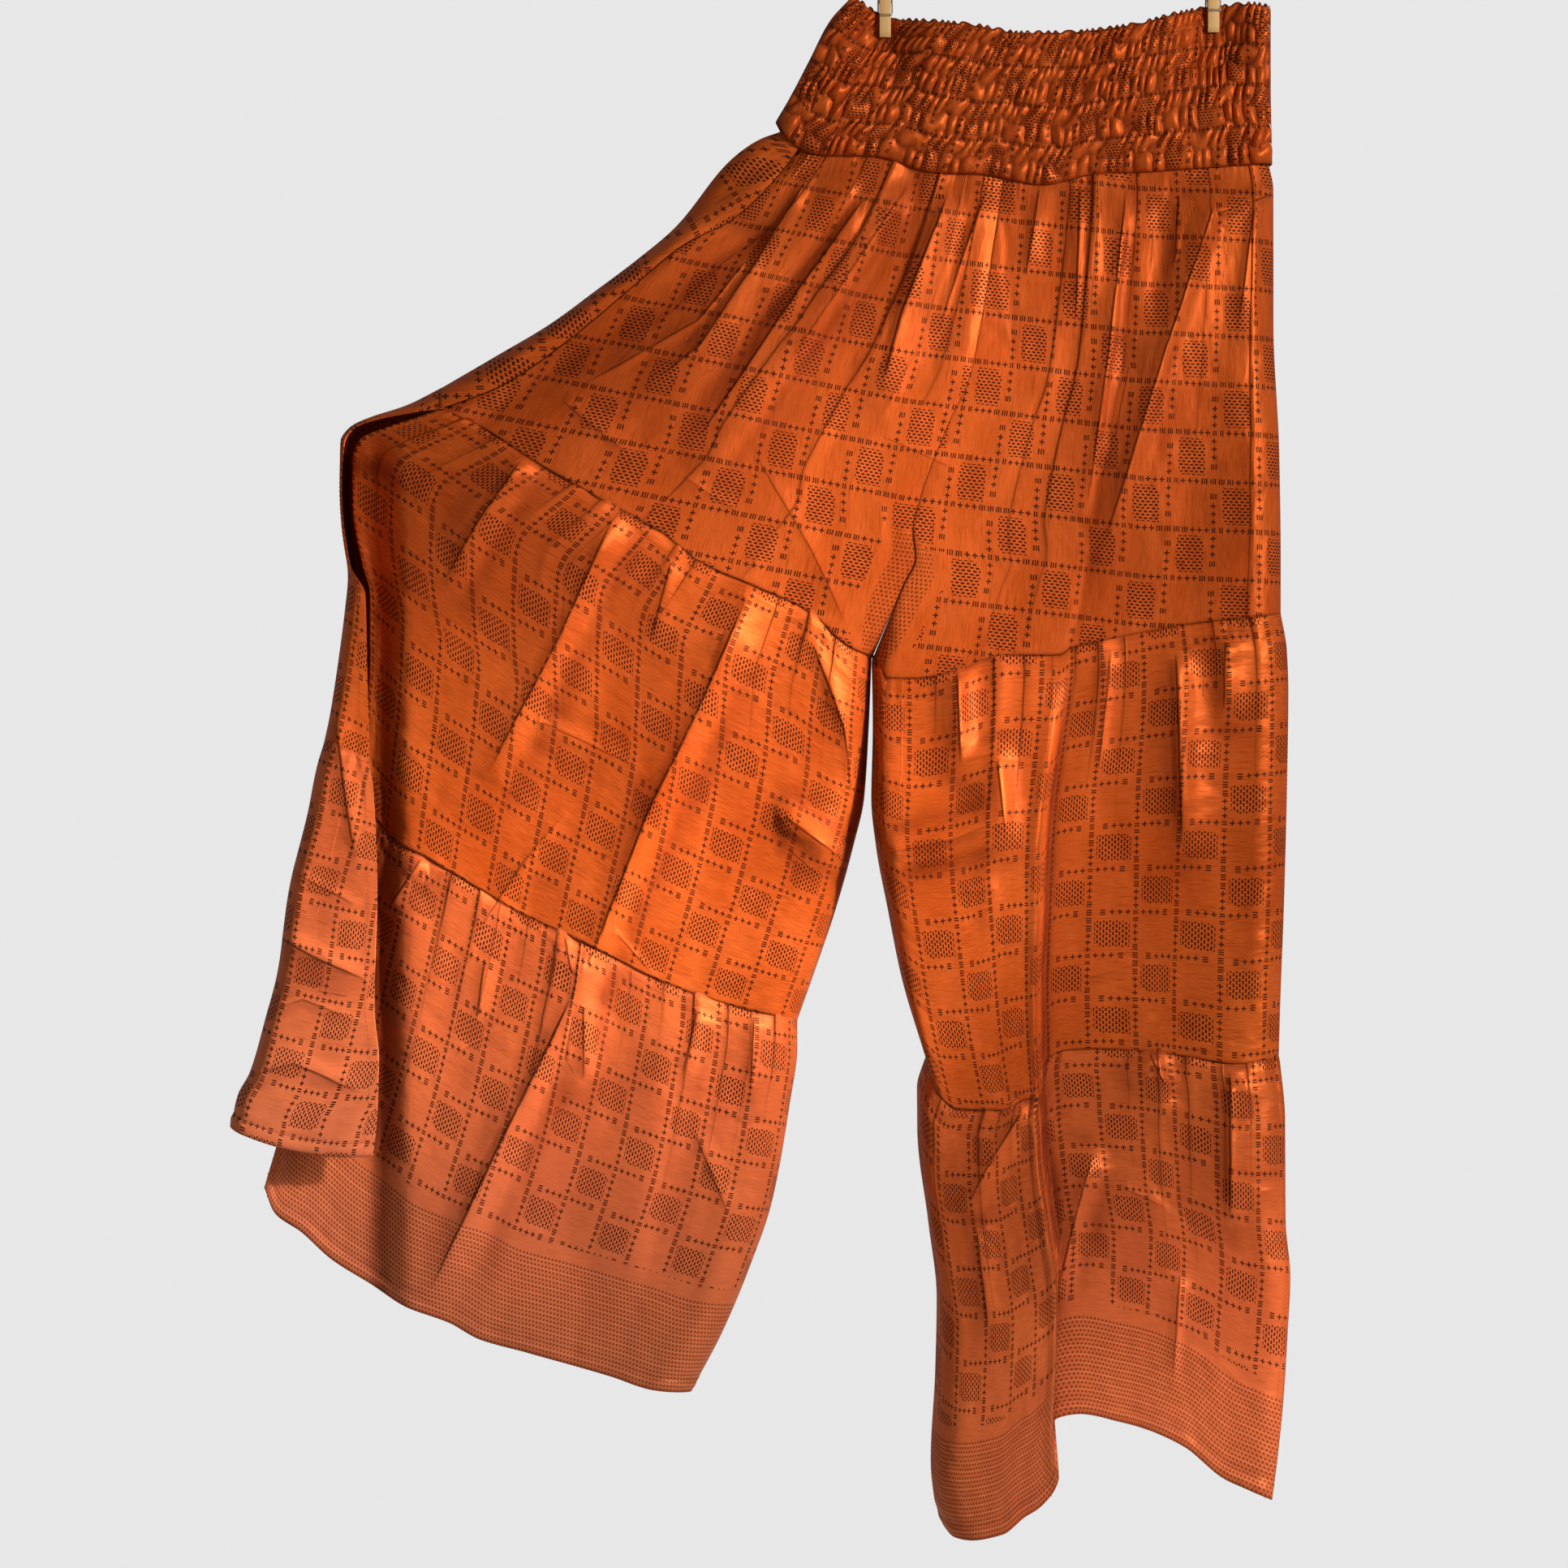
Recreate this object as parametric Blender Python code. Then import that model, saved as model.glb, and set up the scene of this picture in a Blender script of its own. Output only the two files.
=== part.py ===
"""Tiered wide-leg pants with a smocked waist, hung from two small wooden pegs.

Metres, +Z up. The front faces -Y, and +X is the right of someone who looks at the front.
The origin lies midway between the pegs, where they hold the waist. Every size and every
table below is in millimetres, and is scaled when a mesh is made.
"""

import math
from dataclasses import dataclass
from typing import Callable

import bmesh
import bpy
import numpy as np
from mathutils import Matrix

MM = 0.001

# Cloth walls
WALL = 1.2
HEM_WALL = 2.0
WAIST_WALL = 2.0
SEAM_GAP = 0.3
FRONT = -1
BACK = 1

# How the tubes of cloth turn at their sides
TURN = 26.0
WAIST_TURN = 14.0
FOLD_TURN = 12.0
CROTCH_RUN = 60.0
TUCK = 3.4
TUCK_END = 0.12
DEPTH_HEIGHTS = (-300.0, -240.0, -100.0, 20.0)
HALF_DEPTHS = (28.0, 27.0, 17.0, 13.0)

# Gathers below each seam, and the shares of a tier's height where its rows lie
GATHER = 2.4
ROWS = (0.0, 0.045, 0.11, 0.22, 0.36, 0.52, 0.68, 0.84, 1.0)
HEM_ROWS = (0.0, 0.045, 0.11, 0.22, 0.38, 0.56, 0.76, 0.96, 1.0)
FINE_ROWS = 3

# Shares of a panel's width where its columns lie
LEFT_COLUMNS = (0, 0.05, 0.11, 0.18, 0.25, 0.32, 0.39, 0.46, 0.53, 0.6, 0.67, 0.74, 0.81, 0.88, 0.94, 0.98, 1)
RIGHT_COLUMNS = (0, 0.03, 0.08, 0.15, 0.23, 0.32, 0.4, 0.43, 0.47, 0.5, 0.58, 0.67, 0.76, 0.85, 0.92, 0.97, 1)
BACK_COLUMNS = (0, 0.03, 0.08, 0.15, 0.22, 0.29, 0.36, 0.43, 0.5, 0.57, 0.64, 0.71, 0.78, 0.85, 0.92, 0.97, 1)
STRIP_COLUMNS = (0, 0.3, 0.6, 0.82, 0.94)

# Smocked waist
CHANNELS = 8
PUFFS = 18
PUFF_HEIGHT = 2.3
ROWS_PER_CHANNEL = 2
INNER_ROW_STEP = 4
RUFFLE = 1.2
CROWDING = 0.6

# Pegs
PEG_CENTRES = (-110.3, 110.3)
PEG_TIPS = (-6.6, -3.3)
PEG_WIDTH = 7.6
PEG_INNER_FACE = 3.6
PINCHED_DEPTH = 2.0
PINCH_FLAT = 5.0
PINCH_REACH = 34.0
PINCH_HEIGHTS = (-60.0, -10.0)
COIL_HEIGHT = 25.5
COIL_RADIUS = 2.4
COIL_SIDES = 16
WIRE_RADIUS = 0.5
WIRE_ROUNDNESS = 1
PEG_NOTCH_DEPTH = 2.7
NOTCH_HEIGHT = 14.5

# Side view of one peg leg. Columns: out from the inner face, up from the tip
PEG_PROFILE = (
    (0.7, 0.0),
    (0.0, 2.2),
    (0.0, 16.6),
    (0.5, 18.0),
    (0.5, 28.0),
    (2.4, 35.0),
    (4.2, 35.0),
    (3.5, 15.7),
    (PEG_NOTCH_DEPTH, 15.1),
    (PEG_NOTCH_DEPTH, 13.9),
    (3.5, 13.3),
    (3.3, 3.0),
    (1.8, 0.0),
)

# Outlines seen from the front. Columns: x, z
WAIST_TOP = (
    (-132, 22), (-121, 14), (-114, 10), (-106, 7), (-50, 1), (-19, -4), (4, -4), (53, 1), (88, 10),
    (105, 14), (130, 16), (149, 14),
)
WAIST_LEFT = ((-132, 22), (-148, 4), (-161, -21), (-174, -46), (-184, -63))
WAIST_RIGHT = ((149, 14), (149, -35), (150, -92))
WAIST_BOTTOM = (
    (-184, -63), (-172, -80), (-154, -87), (-119, -88), (-77, -99), (-47, -100), (-5, -107),
    (30, -100), (71, -98), (150, -92),
)
HIP_TOP_LEFT = ((-166, -79), (-154, -84), (-119, -85), (-77, -96), (-47, -97), (-31, -100))
HIP_TOP_RIGHT = ((-31, -100), (-5, -104), (30, -97), (71, -94), (147, -88))
BACK_HIP_TOP_LEFT = ((-175, -68), (-165, -81), (-149, -84), (-119, -85), (-77, -96), (-31, -100))
SIDE_FOLD = (
    (-175, -68), (-183, -71), (-194, -75), (-214, -89), (-251, -134), (-277, -156), (-305, -177),
    (-335, -199), (-372, -221), (-408, -242),
)
SIDE_SEAM = (
    (-166, -79), (-192, -112), (-215, -132), (-244, -147), (-281, -177), (-322, -211), (-369, -243),
    (-408, -258),
)
CENTRE = (
    (-31, -100), (-42, -172), (-55, -238), (-69, -268), (-88, -319), (-92, -336), (-90, -358),
    (-98, -375), (-119, -424),
)
HIP_SIDE_RIGHT = ((147, -88), (151, -109), (151, -199), (155, -287), (156, -363), (156, -394))
HIP_HEM_LEFT = (
    (-408, -258), (-378, -271), (-349, -290), (-304, -316), (-261, -340), (-233, -361), (-198, -376),
    (-161, -394), (-136, -416), (-119, -424),
)
BACK_HIP_HEM_LEFT = (
    (-408, -242), (-378, -265), (-349, -287), (-304, -314), (-261, -339), (-233, -359), (-198, -375),
    (-161, -393), (-136, -414), (-119, -424),
)
BACK_HIP_HEM_RIGHT = ((-119, -424), (-102, -435), (-61, -431), (4, -419), (81, -404), (156, -394))
INSEAM_LEFT_2 = (
    (-119, -424), (-121, -472), (-124, -518), (-131, -549), (-143, -592), (-158, -636), (-169, -667),
)
INSEAM_LEFT_3 = (
    (-169, -667), (-169, -685), (-174, -723), (-186, -789), (-201, -833), (-219, -876), (-240, -916),
)
SLIT_LEFT_2 = (
    (-408, -258), (-425, -264), (-444, -270), (-462, -278), (-468, -292), (-468, -319), (-462, -358),
    (-456, -382), (-456, -424), (-459, -472), (-462, -519),
)
SLIT_LEFT_3 = ((-462, -519), (-476, -581), (-495, -663), (-517, -745), (-527, -779))
SEAM_LEFT = (
    (-462, -519), (-437, -547), (-419, -556), (-379, -580), (-355, -594), (-303, -618), (-269, -636),
    (-231, -651), (-169, -667),
)
HEM_LEFT = (
    (-527, -779), (-520, -796), (-502, -809), (-482, -827), (-458, -842), (-432, -857), (-402, -868),
    (-382, -879), (-350, -888), (-294, -904), (-266, -913), (-240, -916),
)
FOLD_LEFT_2 = (
    (-408, -242), (-432, -254), (-456, -262), (-469, -268), (-476, -278), (-476, -299), (-475, -330),
    (-471, -369), (-473, -391), (-477, -422), (-483, -461), (-487, -480),
)
FLAP_EDGE_2 = (
    (-408, -258), (-425, -260), (-444, -263), (-465, -270), (-472, -281), (-473, -310), (-467, -363),
    (-457, -382), (-456, -422), (-455, -482), (-455, -494),
)
FOLD_LEFT_3 = (
    (-487, -480), (-492, -497), (-498, -527), (-511, -581), (-518, -632), (-527, -667), (-537, -701),
    (-545, -716), (-550, -737),
)
FLAP_EDGE_3 = (
    (-455, -494), (-452, -509), (-449, -581), (-451, -656), (-448, -691), (-449, -727), (-452, -756),
)
BACK_SEAM_LEFT = (
    (-487, -480), (-465, -505), (-433, -543), (-379, -579), (-303, -618), (-231, -651), (-169, -667),
)
BACK_HEM_LEFT = (
    (-550, -737), (-526, -746), (-506, -784), (-476, -819), (-433, -849), (-378, -871), (-294, -898),
    (-240, -916),
)
INSEAM_RIGHT_2 = (
    (-119, -424), (-119, -472), (-120, -518), (-117, -549), (-109, -592), (-100, -636), (-83, -692),
)
INSEAM_RIGHT_3 = (
    (-83, -692), (-89, -713), (-89, -740), (-82, -800), (-76, -854), (-77, -904), (-80, -964),
    (-78, -986), (-72, -1004),
)
SLIT_RIGHT_2 = (
    (156, -394), (160, -418), (161, -445), (160, -505), (158, -581), (155, -658), (154, -692),
)
SLIT_RIGHT_3 = (
    (154, -692), (158, -734), (158, -800), (161, -838), (159, -876), (156, -920), (152, -958),
    (148, -987),
)
BACK_SEAM_RIGHT = ((-83, -692), (-51, -701), (15, -697), (86, -692), (154, -692))
BACK_HEM_RIGHT = (
    (-72, -1004), (-51, -980), (-29, -950), (-1, -921), (45, -924), (89, -943), (130, -970), (148, -987),
)

# Outlines that a lap of cloth steps across. Columns: share of the width, x, z
HIP_HEM_RIGHT = (
    (0.0, -119, -424), (0.04, -108, -438), (0.1, -93, -438), (0.2, -62, -432), (0.27, -44, -425),
    (0.33, -24, -422), (0.42, 4, -422), (0.48, 14, -417), (0.58, 37, -412), (0.82, 102, -400),
    (0.93, 134, -397), (1.0, 156, -394),
)
SEAM_RIGHT = (
    (0.0, -83, -692), (0.05, -77, -711), (0.11, -64, -724), (0.24, -36, -725), (0.33, -22, -719),
    (0.42, -9, -715), (0.48, -2, -691), (0.53, 10, -686), (0.6, 32, -685), (0.7, 65, -687),
    (0.8, 90, -690), (0.9, 124, -695), (1.0, 154, -692),
)
HEM_RIGHT = (
    (0.0, -72, -1004), (0.06, -64, -1010), (0.12, -54, -1011), (0.22, -33, -1007), (0.3, -19, -996),
    (0.36, -7, -988), (0.42, 4, -969), (0.48, 2, -934), (0.53, 19, -929), (0.62, 45, -934),
    (0.7, 63, -939), (0.8, 89, -951), (0.9, 115, -972), (0.95, 130, -979), (1.0, 148, -987),
)

# Folds. Columns: x and z of the start, x and z of the end, half width, height, lean
FRONT_FOLDS = (
    (-201, -376, -418, -858, 24, 9, 0.4),
    (-291, -326, -385, -520, 20, 7, 0.4),
    (-352, -288, -410, -385, 15, 6, 0.3),
    (-310, -622, -316, -712, 12, 5, 0.0),
    (-166, -90, -408, -262, 10, 6, -0.3),
    (-180, -125, -390, -268, 13, -8, 0.0),
    (-125, -95, -262, -262, 13, 6, 0.3),
    (-92, -100, -232, -300, 14, 6, 0.3),
    (-62, -104, -118, -262, 13, 5, 0.3),
    (-36, -104, -62, -240, 11, 4, 0.0),
    (30, -100, 26, -190, 10, 4, 0.0),
    (62, -100, 56, -215, 12, 5, 0.0),
    (113, -98, 40, -362, 18, 6, -0.4),
    (83, -420, 88, -560, 15, 6, 0.0),
    (119, -410, 118, -470, 10, 4, 0.0),
    (-63, -432, -58, -505, 11, 5, 0.0),
    (-37, -480, -30, -555, 12, 5, 0.3),
    (-114, -556, -34, -532, 9, 5, 0.0),
    (-182, -524, -134, -563, 9, 5, 0.0),
    (119, -699, 118, -806, 14, 5, 0.3),
    (60, -692, 74, -730, 9, 4, 0.0),
    (28, -750, 4, -850, 14, 5, 0.3),
    (-18, -722, -60, -795, 13, 5, 0.3),
    (-250, -660, -290, -860, 18, 5, 0.2),
)
BACK_FOLDS = (
    (-130, -100, -300, -290, 16, 6, 0.3),
    (-95, -104, -210, -330, 14, 6, 0.3),
    (-60, -104, -110, -300, 13, 5, 0.0),
    (-20, -104, -35, -250, 12, 5, 0.0),
    (35, -100, 45, -300, 14, 6, 0.2),
    (90, -98, 100, -340, 15, 5, -0.2),
    (-215, -372, -395, -800, 24, 9, 0.3),
    (-320, -315, -430, -540, 18, 7, 0.3),
    (-170, -400, -235, -700, 18, 6, 0.0),
    (-40, -430, -20, -700, 18, 8, 0.3),
    (60, -415, 66, -690, 20, 8, 0.0),
    (20, -700, 10, -900, 18, 8, 0.3),
    (100, -695, 108, -940, 18, 7, 0.0),
    (-250, -660, -330, -860, 18, 6, 0.2),
)

# The front of the left leg lies back inside the wrapped flap, and the flap stands out
RECESS = 17.0
RECESS_SIDES = (-455.0, -425.0)
RECESS_HEIGHTS = (-262.0, -300.0)
FLAP_DEPTH = 12.0
FLAP_HEIGHTS = (-262.0, -340.0)
FLAP_BOW = 7.0

# The lap down the front of the right leg
LAP_DEPTH = 19.0
LAP_SHARES = (0.41, 0.475)
LAP_START = 0.4

# Colours and finishes. Columns: red, green, blue, metallic, roughness
FINISHES = {
    "cloth": (0.63, 0.16, 0.035, 0.0, 0.45),
    "wood": (0.78, 0.52, 0.25, 0.0, 0.6),
    "steel": (0.62, 0.6, 0.56, 1.0, 0.35),
}


def smooth_step(low, high, value):
    """0 before low, 1 past high, and a soft rise between."""
    share = np.clip((np.asarray(value, float) - low) / (high - low), 0.0, 1.0)
    return share * share * (3.0 - 2.0 * share)


def smooth_curve(rows):
    """A curve through rows of (x, z) or (share, x, z) that never swings past a point."""
    rows = np.array(rows, float)
    if rows.shape[1] == 2:
        lengths = np.linalg.norm(np.diff(rows, axis=0), axis=1)
        shares = np.concatenate(([0.0], np.cumsum(lengths))) / lengths.sum()
        points = rows
    else:
        shares = rows[:, 0]
        points = rows[:, 1:]
    steps = np.diff(shares)[:, None]
    rises = np.diff(points, axis=0) / steps
    slopes = np.zeros_like(points)
    slopes[0] = rises[0]
    slopes[-1] = rises[-1]
    product = rises[:-1] * rises[1:]
    total = rises[:-1] + rises[1:]
    same_way = product > 0.0
    slopes[1:-1] = np.where(same_way, 2.0 * product / np.where(same_way, total, 1.0), 0.0)

    def at(where):
        where = np.asarray(where, float)
        index = np.clip(np.searchsorted(shares, where, side="right") - 1, 0, len(steps) - 1)
        step = steps[index]
        local = ((where - shares[index]) / step[..., 0])[..., None]
        start = points[index] + (points[index + 1] - points[index]) * local**2 * (3 - 2 * local)
        leave = slopes[index] * step * local * (1 - local) ** 2
        arrive = slopes[index + 1] * step * local**2 * (local - 1)
        return start + leave + arrive

    return at


def turned(distance, radius, kept):
    """Share of the full depth at a distance from a side where the cloth turns round.

    kept is the share that the side itself keeps: 0 where two panels meet edge to edge.
    """
    side = np.sqrt(1.0 - np.square(kept))
    cosine = np.clip(side - distance / radius, 0.0, 1.0)
    return np.sqrt(1.0 - cosine**2)


def closed(down):
    return np.zeros_like(down)


def full(down):
    return np.ones_like(down)


def crotch(down):
    """The centre seam runs at full depth, and dives to the crotch at its foot."""
    rise = (1.0 - down) * np.linalg.norm(np.subtract(CENTRE[-1], CENTRE[0]))
    return turned(rise, CROTCH_RUN, 0.0)


def slit_top(down):
    """The slit on the right leg is shut at its top and opens towards the hem."""
    return 0.25 * down


def slit_foot(down):
    return 0.25 + 0.6 * down


def fold_height(folds, x, z):
    """Outward height of all the folds in a table, each a soft ridge that fades at its ends."""
    total = np.zeros_like(x)
    for start_x, start_z, end_x, end_z, half_width, height, lean in folds:
        run = math.hypot(end_x - start_x, end_z - start_z)
        way_x = (end_x - start_x) / run
        way_z = (end_z - start_z) / run
        along = ((x - start_x) * way_x + (z - start_z) * way_z) / run
        across = (x - start_x) * way_z - (z - start_z) * way_x
        ends = smooth_step(-0.05, 0.12, along) * (1.0 - smooth_step(0.75, 1.1, along))
        width = half_width * (1.0 + lean * np.tanh(across / half_width))
        total = total + height * ends * np.exp(-((across / width) ** 2))
    return total


def pinch(x, z):
    """1 where a peg holds the two layers of the waist together, 0 away from the pegs."""
    nearest = np.min([np.abs(x - centre) for centre in PEG_CENTRES], axis=0)
    return (1.0 - smooth_step(PINCH_FLAT, PINCH_REACH, nearest)) * smooth_step(*PINCH_HEIGHTS, z)


def hang_depth(x, z):
    """Half the distance between the front and the back layer, before folds."""
    depth = np.interp(z, DEPTH_HEIGHTS, HALF_DEPTHS)
    return depth + (PINCHED_DEPTH - depth) * pinch(x, z)


def front_depth(x, z):
    inside = 1.0 - smooth_step(*RECESS_SIDES, x)
    recess = RECESS * inside * smooth_step(-RECESS_HEIGHTS[0], -RECESS_HEIGHTS[1], -z)
    return hang_depth(x, z) + fold_height(FRONT_FOLDS, x, z) - recess


def back_depth(x, z):
    return hang_depth(x, z) + fold_height(BACK_FOLDS, x, z)


def strip_depth(x, z):
    """Depth of the back layer where it wraps round to the front of the left leg."""
    stands_out = FLAP_DEPTH * smooth_step(-FLAP_HEIGHTS[0], -FLAP_HEIGHTS[1], -z)
    ridge = fold_height(FRONT_FOLDS, x, z) * (1.0 - smooth_step(-FLAP_HEIGHTS[0], -FLAP_HEIGHTS[1], -z))
    return hang_depth(x, z) + ridge + stands_out


def lap_height(across, down):
    """The left part of the right leg's front laps over the right part."""
    return LAP_DEPTH * (1.0 - smooth_step(*LAP_SHARES, across)) * smooth_step(0.0, LAP_START, down)


@dataclass
class Panel:
    """One cut piece of cloth between four outlines, as it hangs."""

    name: str
    side: int
    top: Callable
    bottom: Callable
    left: Callable
    right: Callable
    columns: tuple
    rows: tuple = ROWS
    keep_left: Callable = closed
    keep_right: Callable = closed
    tucked: bool = False
    hemmed: bool = False
    lap_from: float | None = None
    strip_edge: Callable | None = None


def between_outlines(panel, across, down):
    """Points (x, z) of the panel's net, blended from its four outlines."""
    u = across[None, :, None]
    v = down[:, None, None]
    top = panel.top(across)[None, :, :]
    bottom = panel.bottom(across)[None, :, :]
    left = panel.left(down)[:, None, :]
    right = panel.right(down)[:, None, :]
    corners = (1 - v) * ((1 - u) * top[:, :1] + u * top[:, -1:])
    corners = corners + v * ((1 - u) * bottom[:, :1] + u * bottom[:, -1:])
    return (1 - v) * top + v * bottom + (1 - u) * left + u * right - corners


def reach(points):
    """Distance along each row from its first point."""
    steps = np.linalg.norm(np.diff(points, axis=1), axis=2)
    return np.concatenate((np.zeros((len(points), 1)), np.cumsum(steps, axis=1)), axis=1)


def across_seam(row, sign):
    """Unit directions (x, z) from a row of points into the cloth below it."""
    tangent = np.gradient(row, axis=0)
    way = sign * np.stack((tangent[:, 1], -tangent[:, 0]), axis=1)
    return way / np.linalg.norm(way, axis=1)[:, None]


def part_seams(points, panel, sign=1.0):
    """Opens half a seam's gap at the top and at the bottom row, across the seam."""
    if not panel.tucked:
        points[0] += across_seam(points[0], sign) * SEAM_GAP / 2
    if not panel.hemmed:
        points[-1] -= across_seam(points[-1], sign) * SEAM_GAP / 2


def settle(panel, depth, x, z, down):
    """Depth with its folds, drawn in where the panel's top is tucked inside the waist."""
    if not panel.tucked:
        return depth
    shown = smooth_step(0.0, TUCK_END, down)[:, None]
    plain = hang_depth(x, z)
    return plain + (depth - plain) * shown - TUCK * (1.0 - shown)


def plain_net(panel, across, down):
    """The wall's middle surface (rows, columns, 3) and the outward sides of its end columns."""
    flat = between_outlines(panel, across, down)
    from_left = reach(flat)
    from_right = from_left[:, -1:] - from_left
    keep_left = panel.keep_left(down)
    keep_right = panel.keep_right(down)
    share = turned(from_left, TURN, keep_left[:, None]) * turned(from_right, TURN, keep_right[:, None])
    depth_at = front_depth if panel.side == FRONT else back_depth
    depth = depth_at(flat[..., 0], flat[..., 1])
    if panel.lap_from is not None:
        depth = depth + lap_height(across[None, :], panel.lap_from + down[:, None])
    depth = settle(panel, depth, flat[..., 0], flat[..., 1], down)
    side_left = np.sqrt(1.0 - keep_left**2)
    side_right = np.sqrt(1.0 - keep_right**2)
    part_seams(flat, panel)
    flat[:, 0, 0] += side_left * WALL / 2 + SEAM_GAP / 2
    flat[:, -1, 0] -= side_right * WALL / 2 + SEAM_GAP / 2
    y = panel.side * (depth * share + SEAM_GAP / 2)
    net = np.stack((flat[..., 0], y, flat[..., 1]), axis=-1)
    none = np.zeros_like(down)
    first = np.stack((-side_left, panel.side * keep_left, none), axis=1)
    last = np.stack((side_right, panel.side * keep_right, none), axis=1)
    return net, first, last


def wrapped_net(panel, across, down):
    """A back panel whose left part wraps round to the front, up to its strip edge."""
    net, _, last = plain_net(panel, across, down)
    net[:, 0, 1] = 0.0
    fold = panel.left(down)
    edge = panel.strip_edge(down)
    width = np.linalg.norm(fold - edge, axis=1)
    share = np.array(STRIP_COLUMNS)[None, :, None]
    flat = edge[:, None, :] + (fold - edge)[:, None, :] * share
    flat[..., 1] -= FLAP_BOW * 4 * share[..., 0] * (1 - share[..., 0]) * (down[:, None] ** 2) * panel.hemmed
    to_fold = width[:, None] * (1.0 - share[..., 0])
    depth = settle(panel, strip_depth(flat[..., 0], flat[..., 1]), flat[..., 0], flat[..., 1], down)
    keep = turned(width, FOLD_TURN, 0.0)
    side = np.sqrt(1.0 - keep**2)
    inwards = (fold - edge) / width[:, None]
    flat[:, 0] += inwards * (side * WALL / 2 + SEAM_GAP / 2)[:, None]
    part_seams(flat, panel, -1.0)
    y = FRONT * depth * turned(to_fold, FOLD_TURN, 0.0)
    strip = np.stack((flat[..., 0], y, flat[..., 1]), axis=-1)
    first = np.stack((-side, FRONT * keep, np.zeros_like(down)), axis=1)
    return np.concatenate((strip, net), axis=1), first, last


def outward(net, panel, first, last):
    """Unit normals of a net. Rows along a seam use the seam alone, so both sides of it agree."""
    along = np.gradient(net, axis=1)
    down = np.gradient(net, axis=0)
    turns = np.ones((net.shape[1], 1))
    if panel.strip_edge:
        turns[: len(STRIP_COLUMNS)] = -1.0
    for row, free in ((0, panel.tucked), (-1, panel.hemmed)):
        if not free:
            way = across_seam(net[row][:, [0, 2]], turns)
            down[row] = np.insert(way, 1, 0.0, axis=1)
    sign = 1.0 if panel.strip_edge else panel.side
    normals = sign * np.cross(along, down)
    normals /= np.linalg.norm(normals, axis=2)[..., None]
    normals[:, 0] = first
    normals[:, -1] = last
    return normals


def halfway(row):
    """The row with a point added in the middle of each step."""
    result = np.empty((2 * len(row) - 1, 3))
    result[0::2] = row
    result[1::2] = (row[:-1] + row[1:]) / 2
    return result


def gathered_rows(net, normals, thickness):
    """Outer and inner rows of a wall. The first rows are twice as fine, and carry the gathers."""
    outer = []
    inner = []
    for index in range(len(net)):
        points = net[index]
        normal = normals[index]
        if index < FINE_ROWS:
            points = halfway(points)
            normal = halfway(normal)
            normal = normal / np.linalg.norm(normal, axis=1)[:, None]
            columns = np.arange(len(points))
            uneven = 0.65 + 0.35 * np.sin(2.7 * columns + 1.3 * index)
            ends = np.minimum(1.0, np.minimum(columns, columns[::-1]) / 4)
            fade = (0.0, 1.0, 0.6)[index]
            wave = GATHER * fade * np.where(columns % 2, -1.0, 1.0) * uneven * ends
            points = points + normal * wave[:, None]
        offset = normal * thickness[index] / 2
        outer.append(points + offset)
        inner.append(points - offset)
    return outer, inner


def strip_faces(finer, coarser):
    """Triangles between two lines of points, where one has as many steps or a whole multiple."""
    ratio = (len(finer) - 1) // (len(coarser) - 1)
    middle = (ratio + 1) // 2
    faces = []
    for step in range(len(coarser) - 1):
        base = step * ratio
        for part in range(ratio):
            apex = coarser[step] if part < middle else coarser[step + 1]
            faces.append((finer[base + part], finer[base + part + 1], apex))
        faces.append((finer[base + middle], coarser[step + 1], coarser[step]))
    return faces


def new_material(name, finish):
    red, green, blue, metallic, roughness = FINISHES[finish]
    material = bpy.data.materials.new(f"{name}_{finish}")
    material.use_nodes = True
    shader = material.node_tree.nodes["Principled BSDF"]
    shader.inputs["Base Color"].default_value = (red, green, blue, 1.0)
    shader.inputs["Metallic"].default_value = metallic
    shader.inputs["Roughness"].default_value = roughness
    return material


def add_object(name, bm, finish):
    """A named object from a bmesh, with its own material."""
    bmesh.ops.recalc_face_normals(bm, faces=bm.faces)
    mesh = bpy.data.meshes.new(name)
    bm.to_mesh(mesh)
    bm.free()
    mesh.shade_smooth()
    mesh.materials.append(new_material(name, finish))
    item = bpy.data.objects.new(name, mesh)
    bpy.context.scene.collection.objects.link(item)
    return item


def wall_object(name, outer, inner, finish="cloth"):
    """A closed wall from its outer and inner rows of points."""
    bm = bmesh.new()
    sides = []
    for rows in (outer, inner):
        sides.append([[bm.verts.new(point * MM) for point in row] for row in rows])
    faces = []
    for rows in sides:
        for upper, lower in zip(rows[:-1], rows[1:]):
            faces += strip_faces(upper, lower)
    outside, inside = sides
    for end in (0, -1):
        faces += strip_faces(outside[end], inside[end])
        faces += strip_faces([row[end] for row in outside], [row[end] for row in inside])
    for face in faces:
        bm.faces.new(face)
    return add_object(name, bm, finish)


def make_panel(panel):
    across = np.array(panel.columns, float)
    down = np.array(panel.rows, float)
    build = wrapped_net if panel.strip_edge else plain_net
    net, first, last = build(panel, across, down)
    normals = outward(net, panel, first, last)
    thickness = np.full(len(down), WALL)
    if panel.hemmed:
        thickness[-2:] = HEM_WALL
    outer, inner = gathered_rows(net, normals, thickness)
    wall_object(panel.name, outer, inner)


def crowded_columns(count):
    """Shares from 0 to 1 that crowd towards both ends."""
    even = np.linspace(0.0, 1.0, count + 1)
    return (1.0 - CROWDING) * even + CROWDING * (0.5 - 0.5 * np.cos(math.pi * even))


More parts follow.
